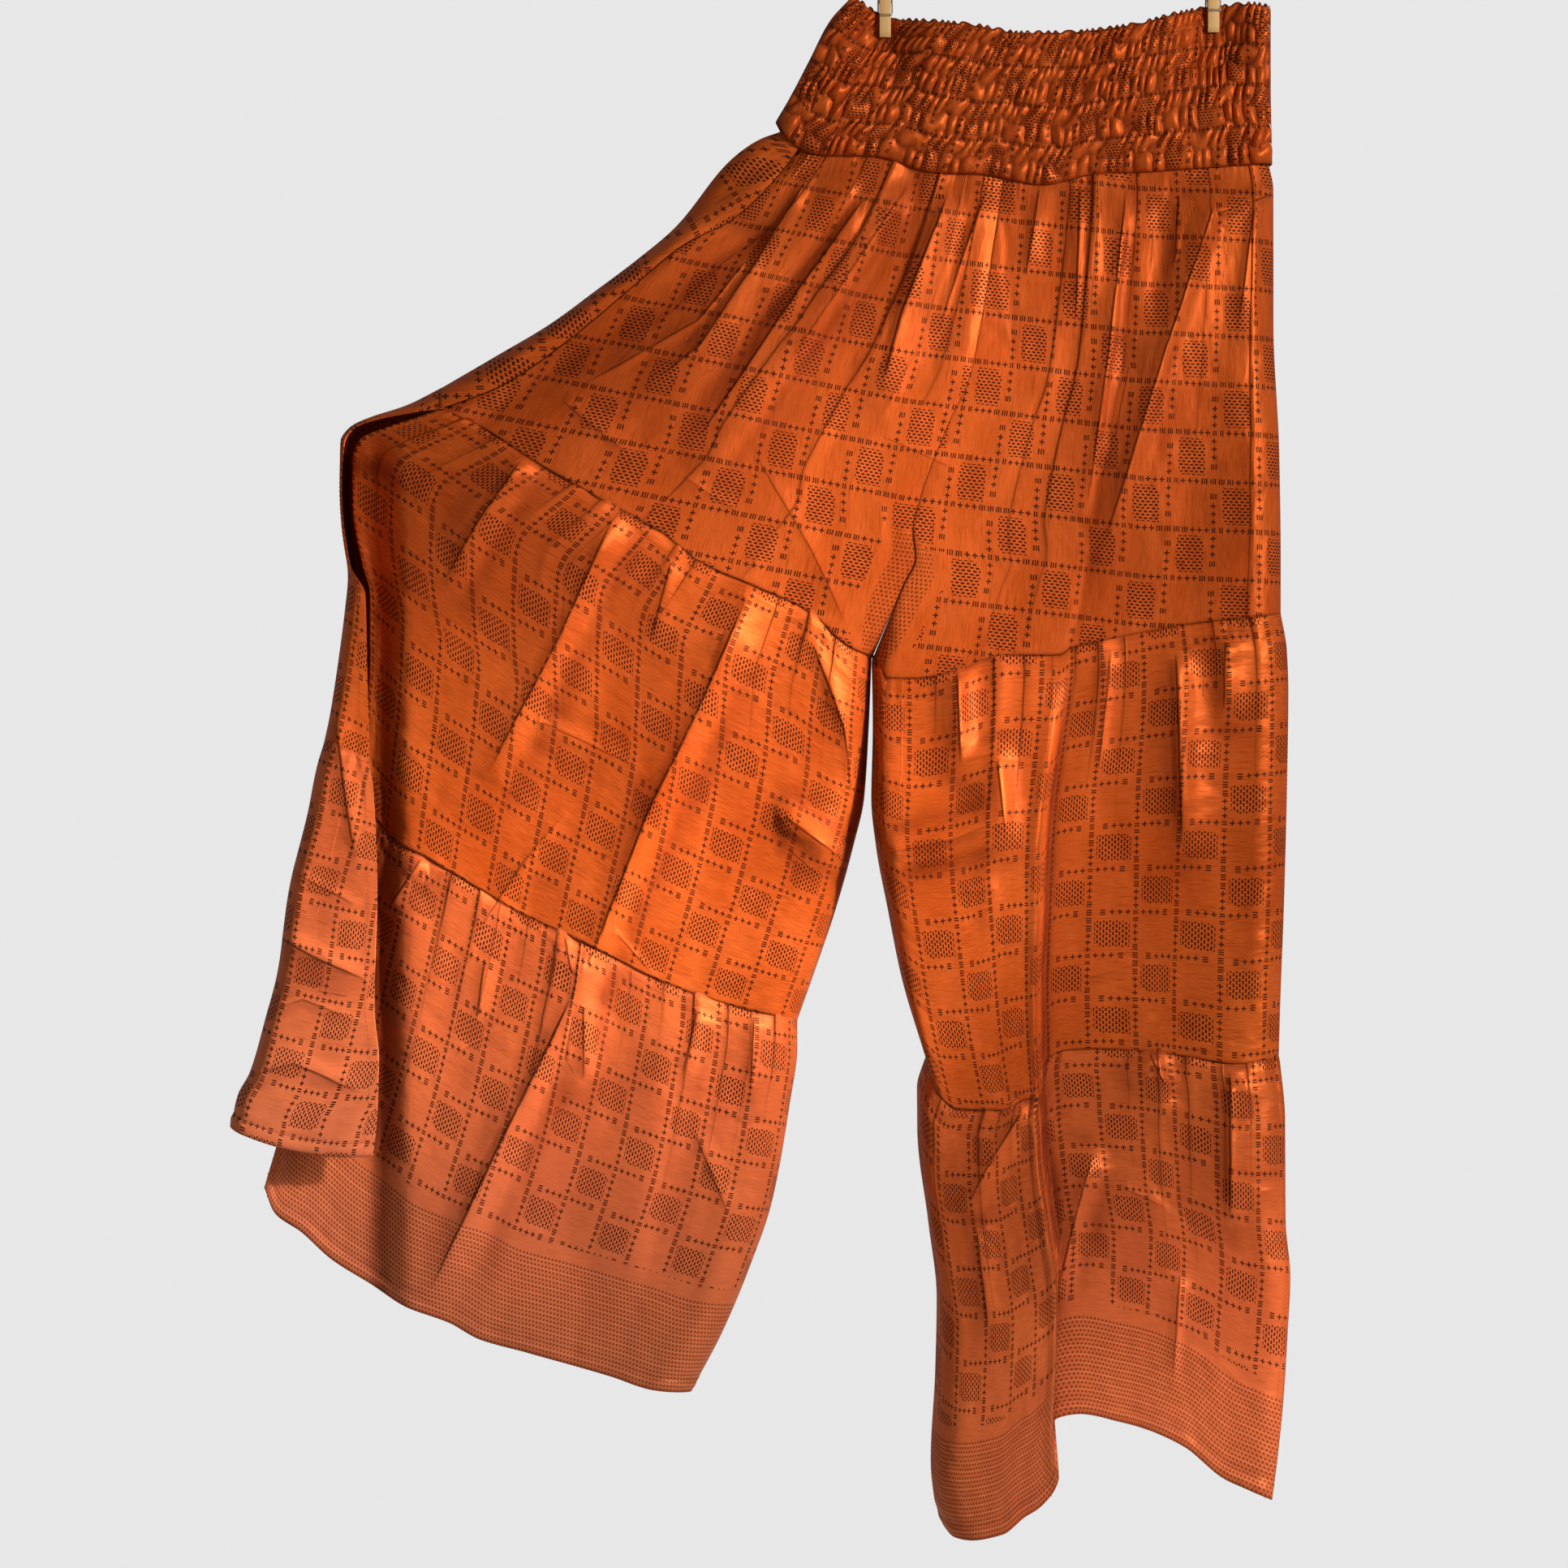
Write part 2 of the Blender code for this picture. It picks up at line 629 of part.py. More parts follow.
def make_waist(name, side):
    """One half of the elastic waist. The puffs are raised on its outer face, over a plain inside."""
    across = crowded_columns(2 * PUFFS)
    row_count = CHANNELS * ROWS_PER_CHANNEL
    down = np.linspace(0.0, 1.0, row_count + 1)
    panel = Panel(
        name,
        side,
        smooth_curve(WAIST_TOP),
        smooth_curve(WAIST_BOTTOM),
        smooth_curve(WAIST_LEFT),
        smooth_curve(WAIST_RIGHT),
        tuple(across),
        tucked=True,
        hemmed=True,
    )
    flat = between_outlines(panel, across, down)
    columns = np.arange(len(across))
    flat[0, 1:-1, 1] += RUFFLE * np.where(columns[1:-1] % 2, 1.0, -1.0)
    from_left = reach(flat)
    from_right = from_left[:, -1:] - from_left
    share = turned(from_left, WAIST_TURN, 0.0) * turned(from_right, WAIST_TURN, 0.0)
    depth = hang_depth(flat[..., 0], flat[..., 1])
    flat[:, 0, 0] += WAIST_WALL / 2 + SEAM_GAP / 2
    flat[:, -1, 0] -= WAIST_WALL / 2 + SEAM_GAP / 2
    net = np.stack((flat[..., 0], side * (depth * share + SEAM_GAP / 2), flat[..., 1]), axis=-1)
    none = np.zeros_like(down)
    one = np.ones_like(down)
    normals = outward(net, panel, np.stack((-one, none, none), 1), np.stack((one, none, none), 1))
    on_crest = np.arange(len(down)) % ROWS_PER_CHANNEL
    channel = np.arange(len(down)) // ROWS_PER_CHANNEL
    stagger = np.where((columns[None, :] + channel[:, None]) % 2, 1.0, 0.25)
    uneven = 0.8 + 0.2 * np.sin(1.9 * columns[None, :] + 2.3 * channel[:, None])
    ends = np.minimum(1.0, np.minimum(columns, columns[::-1]) / 3)[None, :]
    away = 1.0 - pinch(flat[..., 0], flat[..., 1])
    puff = PUFF_HEIGHT * on_crest[:, None] * stagger * uneven * ends * away
    outer = net + normals * (WAIST_WALL / 2 + puff)[..., None]
    inner = net - normals * WAIST_WALL / 2
    wall_object(name, list(outer), list(inner[::INNER_ROW_STEP]))


def make_peg_leg(name, centre, tip, side):
    """One wooden leg: its side view drawn out across the width, with eased edges."""
    bm = bmesh.new()
    ends = []
    for x in (centre - PEG_WIDTH / 2, centre + PEG_WIDTH / 2):
        points = [(x, side * (PEG_INNER_FACE + out), tip + up) for out, up in PEG_PROFILE]
        ends.append([bm.verts.new([value * MM for value in point]) for point in points])
    bm.faces.new(ends[0])
    bm.faces.new(ends[1][::-1])
    count = len(PEG_PROFILE)
    for index in range(count):
        after = (index + 1) % count
        bm.faces.new((ends[0][index], ends[1][index], ends[1][after], ends[0][after]))
    item = add_object(name, bm, "wood")
    item.data.set_sharp_from_angle(angle=math.radians(30))
    return item


def make_peg_wire(name, centre, tip):
    """The wire that hooks over both legs, as one closed loop round them."""
    out = PEG_INNER_FACE + PEG_NOTCH_DEPTH + WIRE_RADIUS + SEAM_GAP
    arm = PEG_WIDTH / 2 + WIRE_RADIUS + SEAM_GAP
    notch = tip + NOTCH_HEIGHT
    coil = tip + COIL_HEIGHT
    route = (
        (-arm, -out, notch),
        (arm, -out, notch),
        (arm, 0.0, coil),
        (arm, out, notch),
        (-arm, out, notch),
        (-arm, 0.0, coil),
    )
    curve = bpy.data.curves.new(name, "CURVE")
    curve.dimensions = "3D"
    curve.bevel_depth = WIRE_RADIUS * MM
    curve.bevel_resolution = WIRE_ROUNDNESS
    spline = curve.splines.new("POLY")
    spline.points.add(len(route) - 1)
    for point, (x, y, z) in zip(spline.points, route):
        point.co = ((centre + x) * MM, y * MM, z * MM, 1.0)
    spline.use_cyclic_u = True
    item = bpy.data.objects.new(name, curve)
    bpy.context.scene.collection.objects.link(item)
    curve.materials.append(new_material(name, "steel"))
    return item


def make_peg_coil(name, centre, tip):
    """The coil of the spring, between the legs and just inside the arms of the wire."""
    bm = bmesh.new()
    turn = Matrix.Rotation(math.pi / 2, 4, "Y")
    bmesh.ops.create_cone(
        bm,
        cap_ends=True,
        segments=COIL_SIDES,
        radius1=COIL_RADIUS * MM,
        radius2=COIL_RADIUS * MM,
        depth=PEG_WIDTH * MM,
        matrix=turn,
    )
    item = add_object(name, bm, "steel")
    item.location = (centre * MM, 0.0, (tip + COIL_HEIGHT) * MM)
    item.data.set_sharp_from_angle(angle=math.radians(40))
    return item


def panels():
    """Every cut piece of the three tiers."""
    centre = smooth_curve(CENTRE)
    side_right = smooth_curve(HIP_SIDE_RIGHT)
    side_seam = smooth_curve(SIDE_SEAM)
    hip_left = smooth_curve(HIP_HEM_LEFT)
    hip_right = smooth_curve(HIP_HEM_RIGHT)
    back_hip_left = smooth_curve(BACK_HIP_HEM_LEFT)
    back_hip_right = smooth_curve(BACK_HIP_HEM_RIGHT)
    hip_top_right = smooth_curve(HIP_TOP_RIGHT)
    inseam_left = [smooth_curve(INSEAM_LEFT_2), smooth_curve(INSEAM_LEFT_3)]
    inseam_right = [smooth_curve(INSEAM_RIGHT_2), smooth_curve(INSEAM_RIGHT_3)]
    slit_right = [smooth_curve(SLIT_RIGHT_2), smooth_curve(SLIT_RIGHT_3)]
    slit_left = [smooth_curve(SLIT_LEFT_2), smooth_curve(SLIT_LEFT_3)]
    fold_left = [smooth_curve(FOLD_LEFT_2), smooth_curve(FOLD_LEFT_3)]
    flap_edge = [smooth_curve(FLAP_EDGE_2), smooth_curve(FLAP_EDGE_3)]
    front_left = [hip_left, smooth_curve(SEAM_LEFT), smooth_curve(HEM_LEFT)]
    front_right = [hip_right, smooth_curve(SEAM_RIGHT), smooth_curve(HEM_RIGHT)]
    back_left = [back_hip_left, smooth_curve(BACK_SEAM_LEFT), smooth_curve(BACK_HEM_LEFT)]
    back_right = [back_hip_right, smooth_curve(BACK_SEAM_RIGHT), smooth_curve(BACK_HEM_RIGHT)]
    result = [
        Panel(
            "tier_1_front_left", FRONT, smooth_curve(HIP_TOP_LEFT), hip_left, side_seam, centre,
            LEFT_COLUMNS, keep_left=full, keep_right=crotch, tucked=True,
        ),
        Panel(
            "tier_1_front_right", FRONT, hip_top_right, hip_right, centre, side_right,
            RIGHT_COLUMNS, keep_left=crotch, tucked=True,
        ),
        Panel(
            "tier_1_back_left", BACK, smooth_curve(BACK_HIP_TOP_LEFT), back_hip_left,
            smooth_curve(SIDE_FOLD), centre, BACK_COLUMNS, keep_right=crotch, tucked=True,
            strip_edge=side_seam,
        ),
        Panel(
            "tier_1_back_right", BACK, hip_top_right, back_hip_right, centre, side_right,
            BACK_COLUMNS, keep_left=crotch, tucked=True,
        ),
    ]
    for tier in (2, 3):
        index = tier - 2
        hemmed = tier == 3
        rows = HEM_ROWS if hemmed else ROWS
        opening = slit_foot if hemmed else slit_top
        result += [
            Panel(
                f"tier_{tier}_front_left", FRONT, front_left[index], front_left[index + 1],
                slit_left[index], inseam_left[index], LEFT_COLUMNS, rows, full, closed,
                hemmed=hemmed,
            ),
            Panel(
                f"tier_{tier}_front_right", FRONT, front_right[index], front_right[index + 1],
                inseam_right[index], slit_right[index], RIGHT_COLUMNS, rows, closed, opening,
                hemmed=hemmed, lap_from=float(index),
            ),
            Panel(
                f"tier_{tier}_back_left", BACK, back_left[index], back_left[index + 1],
                fold_left[index], inseam_left[index], BACK_COLUMNS, rows, closed, closed,
                hemmed=hemmed, strip_edge=flap_edge[index],
            ),
            Panel(
                f"tier_{tier}_back_right", BACK, back_right[index], back_right[index + 1],
                inseam_right[index], slit_right[index], BACK_COLUMNS, rows, closed, opening,
                hemmed=hemmed,
            ),
        ]
    return result


def main():
    for item in list(bpy.data.objects):
        bpy.data.objects.remove(item, do_unlink=True)
    make_waist("waistband_front", FRONT)
    make_waist("waistband_back", BACK)
    for panel in panels():
        make_panel(panel)
    for name, centre, tip in zip(("left", "right"), PEG_CENTRES, PEG_TIPS):
        make_peg_leg(f"peg_{name}_front_leg", centre, tip, FRONT)
        make_peg_leg(f"peg_{name}_back_leg", centre, tip, BACK)
        make_peg_wire(f"peg_{name}_wire", centre, tip)
        make_peg_coil(f"peg_{name}_coil", centre, tip)


main()
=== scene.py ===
"""Looks for the tiered wide-leg pants that hang from two small wooden pegs.

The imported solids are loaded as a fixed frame. Each cut piece of cloth is made again as a
fine, thin shell on the same outlines, with its creases, gathers, hems and printed pattern.
Outlines and folds are in millimetres, as x to the right and z up, and the front faces -Y.
"""

import math
from dataclasses import dataclass
from typing import Callable

import bmesh
import bpy
import numpy as np
from bpy.props import FloatProperty, FloatVectorProperty, PointerProperty
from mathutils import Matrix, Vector


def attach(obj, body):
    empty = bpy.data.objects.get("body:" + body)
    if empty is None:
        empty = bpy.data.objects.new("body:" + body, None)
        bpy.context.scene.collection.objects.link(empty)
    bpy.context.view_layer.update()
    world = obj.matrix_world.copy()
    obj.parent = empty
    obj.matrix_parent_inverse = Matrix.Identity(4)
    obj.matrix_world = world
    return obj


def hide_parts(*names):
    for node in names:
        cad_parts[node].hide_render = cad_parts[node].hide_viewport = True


bl_info = {
    "name": "Tiered pants on pegs",
    "version": (1, 0, 0),
    "blender": (4, 5, 0),
    "location": "3D View > Sidebar > Pants",
    "description": "Makes the cloth, stitches and pegs of a pair of tiered wide-leg pants",
    "category": "Object",
}

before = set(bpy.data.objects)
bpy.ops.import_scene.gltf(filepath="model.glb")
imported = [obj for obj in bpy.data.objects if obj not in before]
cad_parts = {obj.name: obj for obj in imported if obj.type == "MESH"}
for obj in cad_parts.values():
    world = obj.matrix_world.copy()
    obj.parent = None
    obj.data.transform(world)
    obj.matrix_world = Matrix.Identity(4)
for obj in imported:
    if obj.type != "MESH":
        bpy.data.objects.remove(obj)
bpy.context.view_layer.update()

MM = 0.001
BODY = "root"
FRONT = -1
BACK = 1
FACES = {FRONT: "front", BACK: "back"}

# How the tubes of cloth turn at their sides, as in the solids
TURN = 26.0
WAIST_TURN = 14.0
FOLD_TURN = 12.0
CROTCH_RUN = 60.0
TUCK = 3.4
TUCK_END = 0.12
DEPTH_HEIGHTS = (-300.0, -240.0, -100.0, 20.0)
HALF_DEPTHS = (28.0, 27.0, 17.0, 13.0)
SOLID_WALL = 1.2
PEG_CENTRES = (-110.3, 110.3)
PEG_TIPS = (-6.6, -3.3)
PEG_WIDTH = 7.6
PEG_INNER_FACE = 3.6
PINCHED_DEPTH = 2.0
PINCH_FLAT = 5.0
PINCH_REACH = 34.0
PINCH_HEIGHTS = (-60.0, -10.0)

# The camera's place, and the width that it takes in at the depth of the pegs, in metres
VIEW_CENTRE = (-0.1783, 0.0, -0.5083)
VIEW_DISTANCE = 3.8
VIEW_WIDTH = 1.0549
SENSOR = 36.0
WINDOW = (2.3, -2.2, 0.8)

# Square lights. Columns: name, setting of its power, share of it, place, size, spread in degrees, target
LIGHTS = (
    ("key light", "key_power", 1.0, (2.6, -2.0, 0.6), 1.0, 180.0, VIEW_CENTRE),
    ("window light, low", "patch_power", 0.64, WINDOW, 0.12, 9.0, (-0.34, 0.0, -0.61)),
    ("window light, high", "patch_power", 0.11, WINDOW, 0.12, 5.0, (-0.14, 0.0, -0.27)),
    ("window light, right", "patch_power", 0.08, WINDOW, 0.12, 5.0, (0.07, 0.0, -0.94)),
    ("fill light", "fill_power", 1.0, (-2.4, -2.2, -0.2), 1.6, 180.0, VIEW_CENTRE),
    ("back light", "back_power", 1.0, (0.9, 2.6, 0.9), 0.8, 180.0, VIEW_CENTRE),
)

# Outlines seen from the front. Columns: x, z
WAIST_TOP = (
    (-132, 22), (-121, 14), (-114, 10), (-106, 7), (-50, 1), (-19, -4), (4, -4), (53, 1), (88, 10),
    (105, 14), (130, 16), (149, 14),
)
WAIST_LEFT = ((-132, 22), (-148, 4), (-161, -21), (-174, -46), (-184, -63))
WAIST_RIGHT = ((149, 14), (149, -35), (150, -92))
WAIST_BOTTOM = (
    (-184, -63), (-172, -80), (-154, -87), (-119, -88), (-77, -99), (-47, -100), (-5, -107),
    (30, -100), (71, -98), (150, -92),
)
HIP_TOP_LEFT = ((-166, -79), (-154, -84), (-119, -85), (-77, -96), (-47, -97), (-31, -100))
HIP_TOP_RIGHT = ((-31, -100), (-5, -104), (30, -97), (71, -94), (147, -88))
BACK_HIP_TOP_LEFT = ((-175, -68), (-165, -81), (-149, -84), (-119, -85), (-77, -96), (-31, -100))
SIDE_FOLD = (
    (-175, -68), (-183, -71), (-194, -75), (-214, -89), (-251, -134), (-277, -156), (-305, -177),
    (-335, -199), (-372, -221), (-408, -242),
)
SIDE_SEAM = (
    (-166, -79), (-192, -112), (-215, -132), (-244, -147), (-281, -177), (-322, -211), (-369, -243),
    (-408, -258),
)
CENTRE = (
    (-31, -100), (-42, -172), (-55, -238), (-69, -268), (-88, -319), (-92, -336), (-90, -358),
    (-98, -375), (-119, -424),
)
HIP_SIDE_RIGHT = ((147, -88), (151, -109), (151, -199), (155, -287), (156, -363), (156, -394))
HIP_HEM_LEFT = (
    (-408, -258), (-378, -271), (-349, -290), (-304, -316), (-261, -340), (-233, -361), (-198, -376),
    (-161, -394), (-136, -416), (-119, -424),
)
BACK_HIP_HEM_LEFT = (
    (-408, -242), (-378, -265), (-349, -287), (-304, -314), (-261, -339), (-233, -359), (-198, -375),
    (-161, -393), (-136, -414), (-119, -424),
)
BACK_HIP_HEM_RIGHT = ((-119, -424), (-102, -435), (-61, -431), (4, -419), (81, -404), (156, -394))
INSEAM_LEFT_2 = (
    (-119, -424), (-121, -472), (-124, -518), (-131, -549), (-143, -592), (-158, -636), (-169, -667),
)
INSEAM_LEFT_3 = (
    (-169, -667), (-169, -685), (-174, -723), (-186, -789), (-201, -833), (-219, -876), (-240, -916),
)
SLIT_LEFT_2 = (
    (-408, -258), (-425, -264), (-444, -270), (-462, -278), (-468, -292), (-468, -319), (-462, -358),
    (-456, -382), (-456, -424), (-459, -472), (-462, -519),
)
SLIT_LEFT_3 = ((-462, -519), (-476, -581), (-495, -663), (-517, -745), (-527, -779))
SEAM_LEFT = (
    (-462, -519), (-437, -547), (-419, -556), (-379, -580), (-355, -594), (-303, -618), (-269, -636),
    (-231, -651), (-169, -667),
)
HEM_LEFT = (
    (-527, -779), (-520, -796), (-502, -809), (-482, -827), (-458, -842), (-432, -857), (-402, -868),
    (-382, -879), (-350, -888), (-294, -904), (-266, -913), (-240, -916),
)
FOLD_LEFT_2 = (
    (-408, -242), (-432, -254), (-456, -262), (-469, -268), (-476, -278), (-476, -299), (-475, -330),
    (-471, -369), (-473, -391), (-477, -422), (-483, -461), (-487, -480),
)
FLAP_EDGE_2 = (
    (-408, -258), (-425, -260), (-444, -263), (-465, -270), (-472, -281), (-473, -310), (-467, -363),
    (-457, -382), (-456, -422), (-455, -482), (-455, -494),
)
FOLD_LEFT_3 = (
    (-487, -480), (-492, -497), (-498, -527), (-511, -581), (-518, -632), (-527, -667), (-537, -701),
    (-545, -716), (-550, -737),
)
FLAP_EDGE_3 = (
    (-455, -494), (-452, -509), (-449, -581), (-451, -656), (-448, -691), (-449, -727), (-452, -756),
)
BACK_SEAM_LEFT = (
    (-487, -480), (-465, -505), (-433, -543), (-379, -579), (-303, -618), (-231, -651), (-169, -667),
)
BACK_HEM_LEFT = (
    (-550, -737), (-526, -746), (-506, -784), (-476, -819), (-433, -849), (-378, -871), (-294, -898),
    (-240, -916),
)
INSEAM_RIGHT_2 = (
    (-119, -424), (-119, -472), (-120, -518), (-117, -549), (-109, -592), (-100, -636), (-83, -692),
)
INSEAM_RIGHT_3 = (
    (-83, -692), (-89, -713), (-89, -740), (-82, -800), (-76, -854), (-77, -904), (-80, -964),
    (-78, -986), (-72, -1004),
)
SLIT_RIGHT_2 = (
    (156, -394), (160, -418), (161, -445), (160, -505), (158, -581), (155, -658), (154, -692),
)
SLIT_RIGHT_3 = (
    (154, -692), (158, -734), (158, -800), (161, -838), (159, -876), (156, -920), (152, -958),
    (148, -987),
)
BACK_SEAM_RIGHT = ((-83, -692), (-51, -701), (15, -697), (86, -692), (154, -692))
BACK_HEM_RIGHT = (
    (-72, -1004), (-51, -980), (-29, -950), (-1, -921), (45, -924), (89, -943), (130, -970), (148, -987),
)

# Outlines that a lap of cloth steps across. Columns: share of the width, x, z
HIP_HEM_RIGHT = (
    (0.0, -119, -424), (0.04, -108, -438), (0.1, -93, -438), (0.2, -62, -432), (0.27, -44, -425),
    (0.33, -24, -422), (0.42, 4, -422), (0.48, 14, -417), (0.58, 37, -412), (0.82, 102, -400),
    (0.93, 134, -397), (1.0, 156, -394),
)
SEAM_RIGHT = (
    (0.0, -83, -692), (0.05, -77, -711), (0.11, -64, -724), (0.24, -36, -725), (0.33, -22, -719),
    (0.42, -9, -715), (0.48, -2, -691), (0.53, 10, -686), (0.6, 32, -685), (0.7, 65, -687),
    (0.8, 90, -690), (0.9, 124, -695), (1.0, 154, -692),
)
HEM_RIGHT = (
    (0.0, -72, -1004), (0.06, -64, -1010), (0.12, -54, -1011), (0.22, -33, -1007), (0.3, -19, -996),
    (0.36, -7, -988), (0.42, 4, -969), (0.48, 2, -934), (0.53, 19, -929), (0.62, 45, -934),
    (0.7, 63, -939), (0.8, 89, -951), (0.9, 115, -972), (0.95, 130, -979), (1.0, 148, -987),
)

# Folds. Columns: x and z of the start, x and z of the end, half width, height, lean
FRONT_FOLDS = (
    (-201, -376, -418, -858, 24, 9, 0.4),
    (-291, -326, -385, -520, 20, 7, 0.4),
    (-352, -288, -410, -385, 15, 6, 0.3),
    (-310, -622, -316, -712, 12, 5, 0.0),
    (-166, -90, -408, -262, 10, 6, -0.3),
    (-180, -125, -390, -268, 13, -8, 0.0),
    (-125, -95, -262, -262, 13, 6, 0.3),
    (-92, -100, -232, -300, 14, 6, 0.3),
    (-62, -104, -118, -262, 13, 5, 0.3),
    (-36, -104, -62, -240, 11, 4, 0.0),
    (30, -100, 26, -190, 10, 4, 0.0),
    (62, -100, 56, -215, 12, 5, 0.0),
    (113, -98, 40, -362, 18, 6, -0.4),
    (83, -420, 88, -560, 15, 6, 0.0),
    (119, -410, 118, -470, 10, 4, 0.0),
    (-63, -432, -58, -505, 11, 5, 0.0),
    (-37, -480, -30, -555, 12, 5, 0.3),
    (-114, -556, -34, -532, 9, 5, 0.0),
    (-182, -524, -134, -563, 9, 5, 0.0),
    (119, -699, 118, -806, 14, 5, 0.3),
    (60, -692, 74, -730, 9, 4, 0.0),
    (28, -750, 4, -850, 14, 5, 0.3),
    (-18, -722, -60, -795, 13, 5, 0.3),
    (-250, -660, -290, -860, 18, 5, 0.2),
)
BACK_FOLDS = (
    (-130, -100, -300, -290, 16, 6, 0.3),
    (-95, -104, -210, -330, 14, 6, 0.3),
    (-60, -104, -110, -300, 13, 5, 0.0),
    (-20, -104, -35, -250, 12, 5, 0.0),
    (35, -100, 45, -300, 14, 6, 0.2),
    (90, -98, 100, -340, 15, 5, -0.2),
    (-215, -372, -395, -800, 24, 9, 0.3),
    (-320, -315, -430, -540, 18, 7, 0.3),
    (-170, -400, -235, -700, 18, 6, 0.0),
    (-40, -430, -20, -700, 18, 8, 0.3),
    (60, -415, 66, -690, 20, 8, 0.0),
    (20, -700, 10, -900, 18, 8, 0.3),
    (100, -695, 108, -940, 18, 7, 0.0),
    (-250, -660, -330, -860, 18, 6, 0.2),
)

# The front of the left leg lies back inside the wrapped flap, and the flap stands out
RECESS = 17.0
RECESS_SIDES = (-455.0, -425.0)
RECESS_HEIGHTS = (-262.0, -300.0)
FLAP_DEPTH = 12.0
FLAP_HEIGHTS = (-262.0, -340.0)
FLAP_BOW = 7.0

# The lap down the front of the right leg
LAP_DEPTH = 19.0
LAP_SHARES = (0.41, 0.475)
LAP_START = 0.4

# Creases on the front. Columns: path, steep width, gentle width, height, gentle side
FRONT_CREASES = (
    (((152, -112), (128, -121), (102, -131)), 2, 7, 3.2, 1),
    (((-160, -98), (-198, -161), (-235, -216), (-269, -243)), 2.4, 16, 4.5, -1),
    (((-119, -109), (-168, -177), (-212, -243), (-242, -287)), 2.4, 18, 4.5, -1),
    (((-94, -106), (-138, -172), (-182, -238)), 3.2, 14, 3.6, 1),
    (((-67, -109), (-100, -194), (-116, -254)), 2.4, 12, 3.6, -1),
    (((-192, -145), (-236, -199), (-324, -248)), 4, 14, 3.6, 1),
    (((-42, -109), (-61, -161), (-78, -216)), 2.4, 10, 2.7, 1),
    (((-198, -287), (-160, -352), (-132, -412)), 4, 18, 1.1, 1),
    (((51, -105), (38, -221), (23, -330)), 2, 15, 4.5, 1),
    (((113, -109), (75, -221), (32, -358)), 3.2, 20, 5.4, 1),
    (((20, -104), (16, -210)), 2.4, 12, 2.7, 1),
    (((-7, -106), (-17, -172)), 2.4, 10, 2.7, -1),
    (((86, -112), (81, -177)), 2.4, 12, 2.7, -1),
    (((138, -112), (124, -210)), 3.2, 12, 2.7, -1),
    (((-202, -382), (-236, -460), (-269, -527), (-304, -617), (-317, -645)), 3.2, 30, 5.4, -1),
    (((-291, -328), (-329, -412), (-378, -505)), 3.2, 22, 4.5, -1),
    (((-352, -290), (-384, -336), (-407, -377)), 3.2, 18, 3.6, -1),
    (((-419, -556), (-447, -598)), 2.4, 8, 2.7, 1),
    (((-401, -567), (-422, -580)), 2.4, 8, 1.8, 1),
    (((-182, -527), (-136, -561)), 2, 9, 2.7, 1),
    (((-160, -412), (-138, -472), (-132, -527)), 3.2, 14, 2.7, -1),
    (((-253, -358), (-269, -418)), 2.4, 12, 2.7, -1),
    (((-317, -645), (-341, -694), (-366, -745), (-418, -853)), 2.4, 26, 5.4, -1),
    (((-325, -608), (-319, -638)), 2, 8, 1.8, 1),
    (((-312, -652), (-312, -708)), 2, 9, 2.7, -1),
    (((-236, -658), (-247, -707)), 2.4, 12, 2.7, -1),
    (((-198, -663), (-201, -713)), 2.4, 10, 2.7, 1),
    (((-378, -625), (-384, -669)), 2.4, 10, 2.2, -1),
    (((-63, -431), (-61, -497)), 2.4, 14, 3.6, 1),
    (((-37, -489), (-31, -549)), 2.4, 12, 2.7, 1),
    (((-114, -555), (-64, -545), (-34, -531)), 2, 9, 2.7, 1),
    (((-59, -581), (-34, -578)), 2, 7, 1.8, 1),
    (((83, -418), (87, -554)), 2.4, 18, 4.5, -1),
    (((116, -412), (115, -461)), 2.4, 12, 2.7, -1),
    (((40, -418), (31, -505)), 2.4, 14, 2.7, 1),
    (((119, -699), (119, -803)), 2.4, 16, 4.5, -1),
    (((65, -687), (78, -715)), 2, 9, 2.7, 1),
    (((27, -756), (15, -800), (4, -847)), 2.4, 14, 3.6, 1),
    (((-18, -721), (-40, -756), (-58, -790)), 2.4, 12, 3.6, 1),
    (((-51, -800), (-42, -876)), 3.2, 14, 2.7, -1),
    (((86, -833), (81, -909)), 3.2, 16, 2.7, 1),
    (((-350, -462), (-268, -501)), 1.2, 5, 1.6, 1),
    (((-187, -527), (-136, -563)), 1.2, 6, 1.8, -1),
    (((-180, -548), (-148, -575)), 1.2, 5, 1.4, -1),
    (((-385, -610), (-352, -560), (-318, -520)), 1.5, 7, 1.6, 1),
    (((-300, -596), (-262, -640)), 1.2, 5, 1.4, 1),
    (((-238, -740), (-214, -800)), 1.5, 6, 1.5, -1),
    (((-400, -690), (-360, -668)), 1.2, 5, 1.3, 1),
    (((-150, -610), (-178, -640)), 1.2, 5, 1.3, -1),
    (((20, -640), (58, -628)), 1.2, 5, 1.2, 1),
    (((44, -776), (78, -792)), 1.2, 6, 1.6, 1),
    (((-250, -300), (-205, -330)), 1.2, 6, 1.3, 1),
    (((-330, -250), (-280, -290)), 1.2, 6, 1.3, -1),
    (((-115, -275), (-60, -300)), 1.2, 6, 1.0, 1),
)

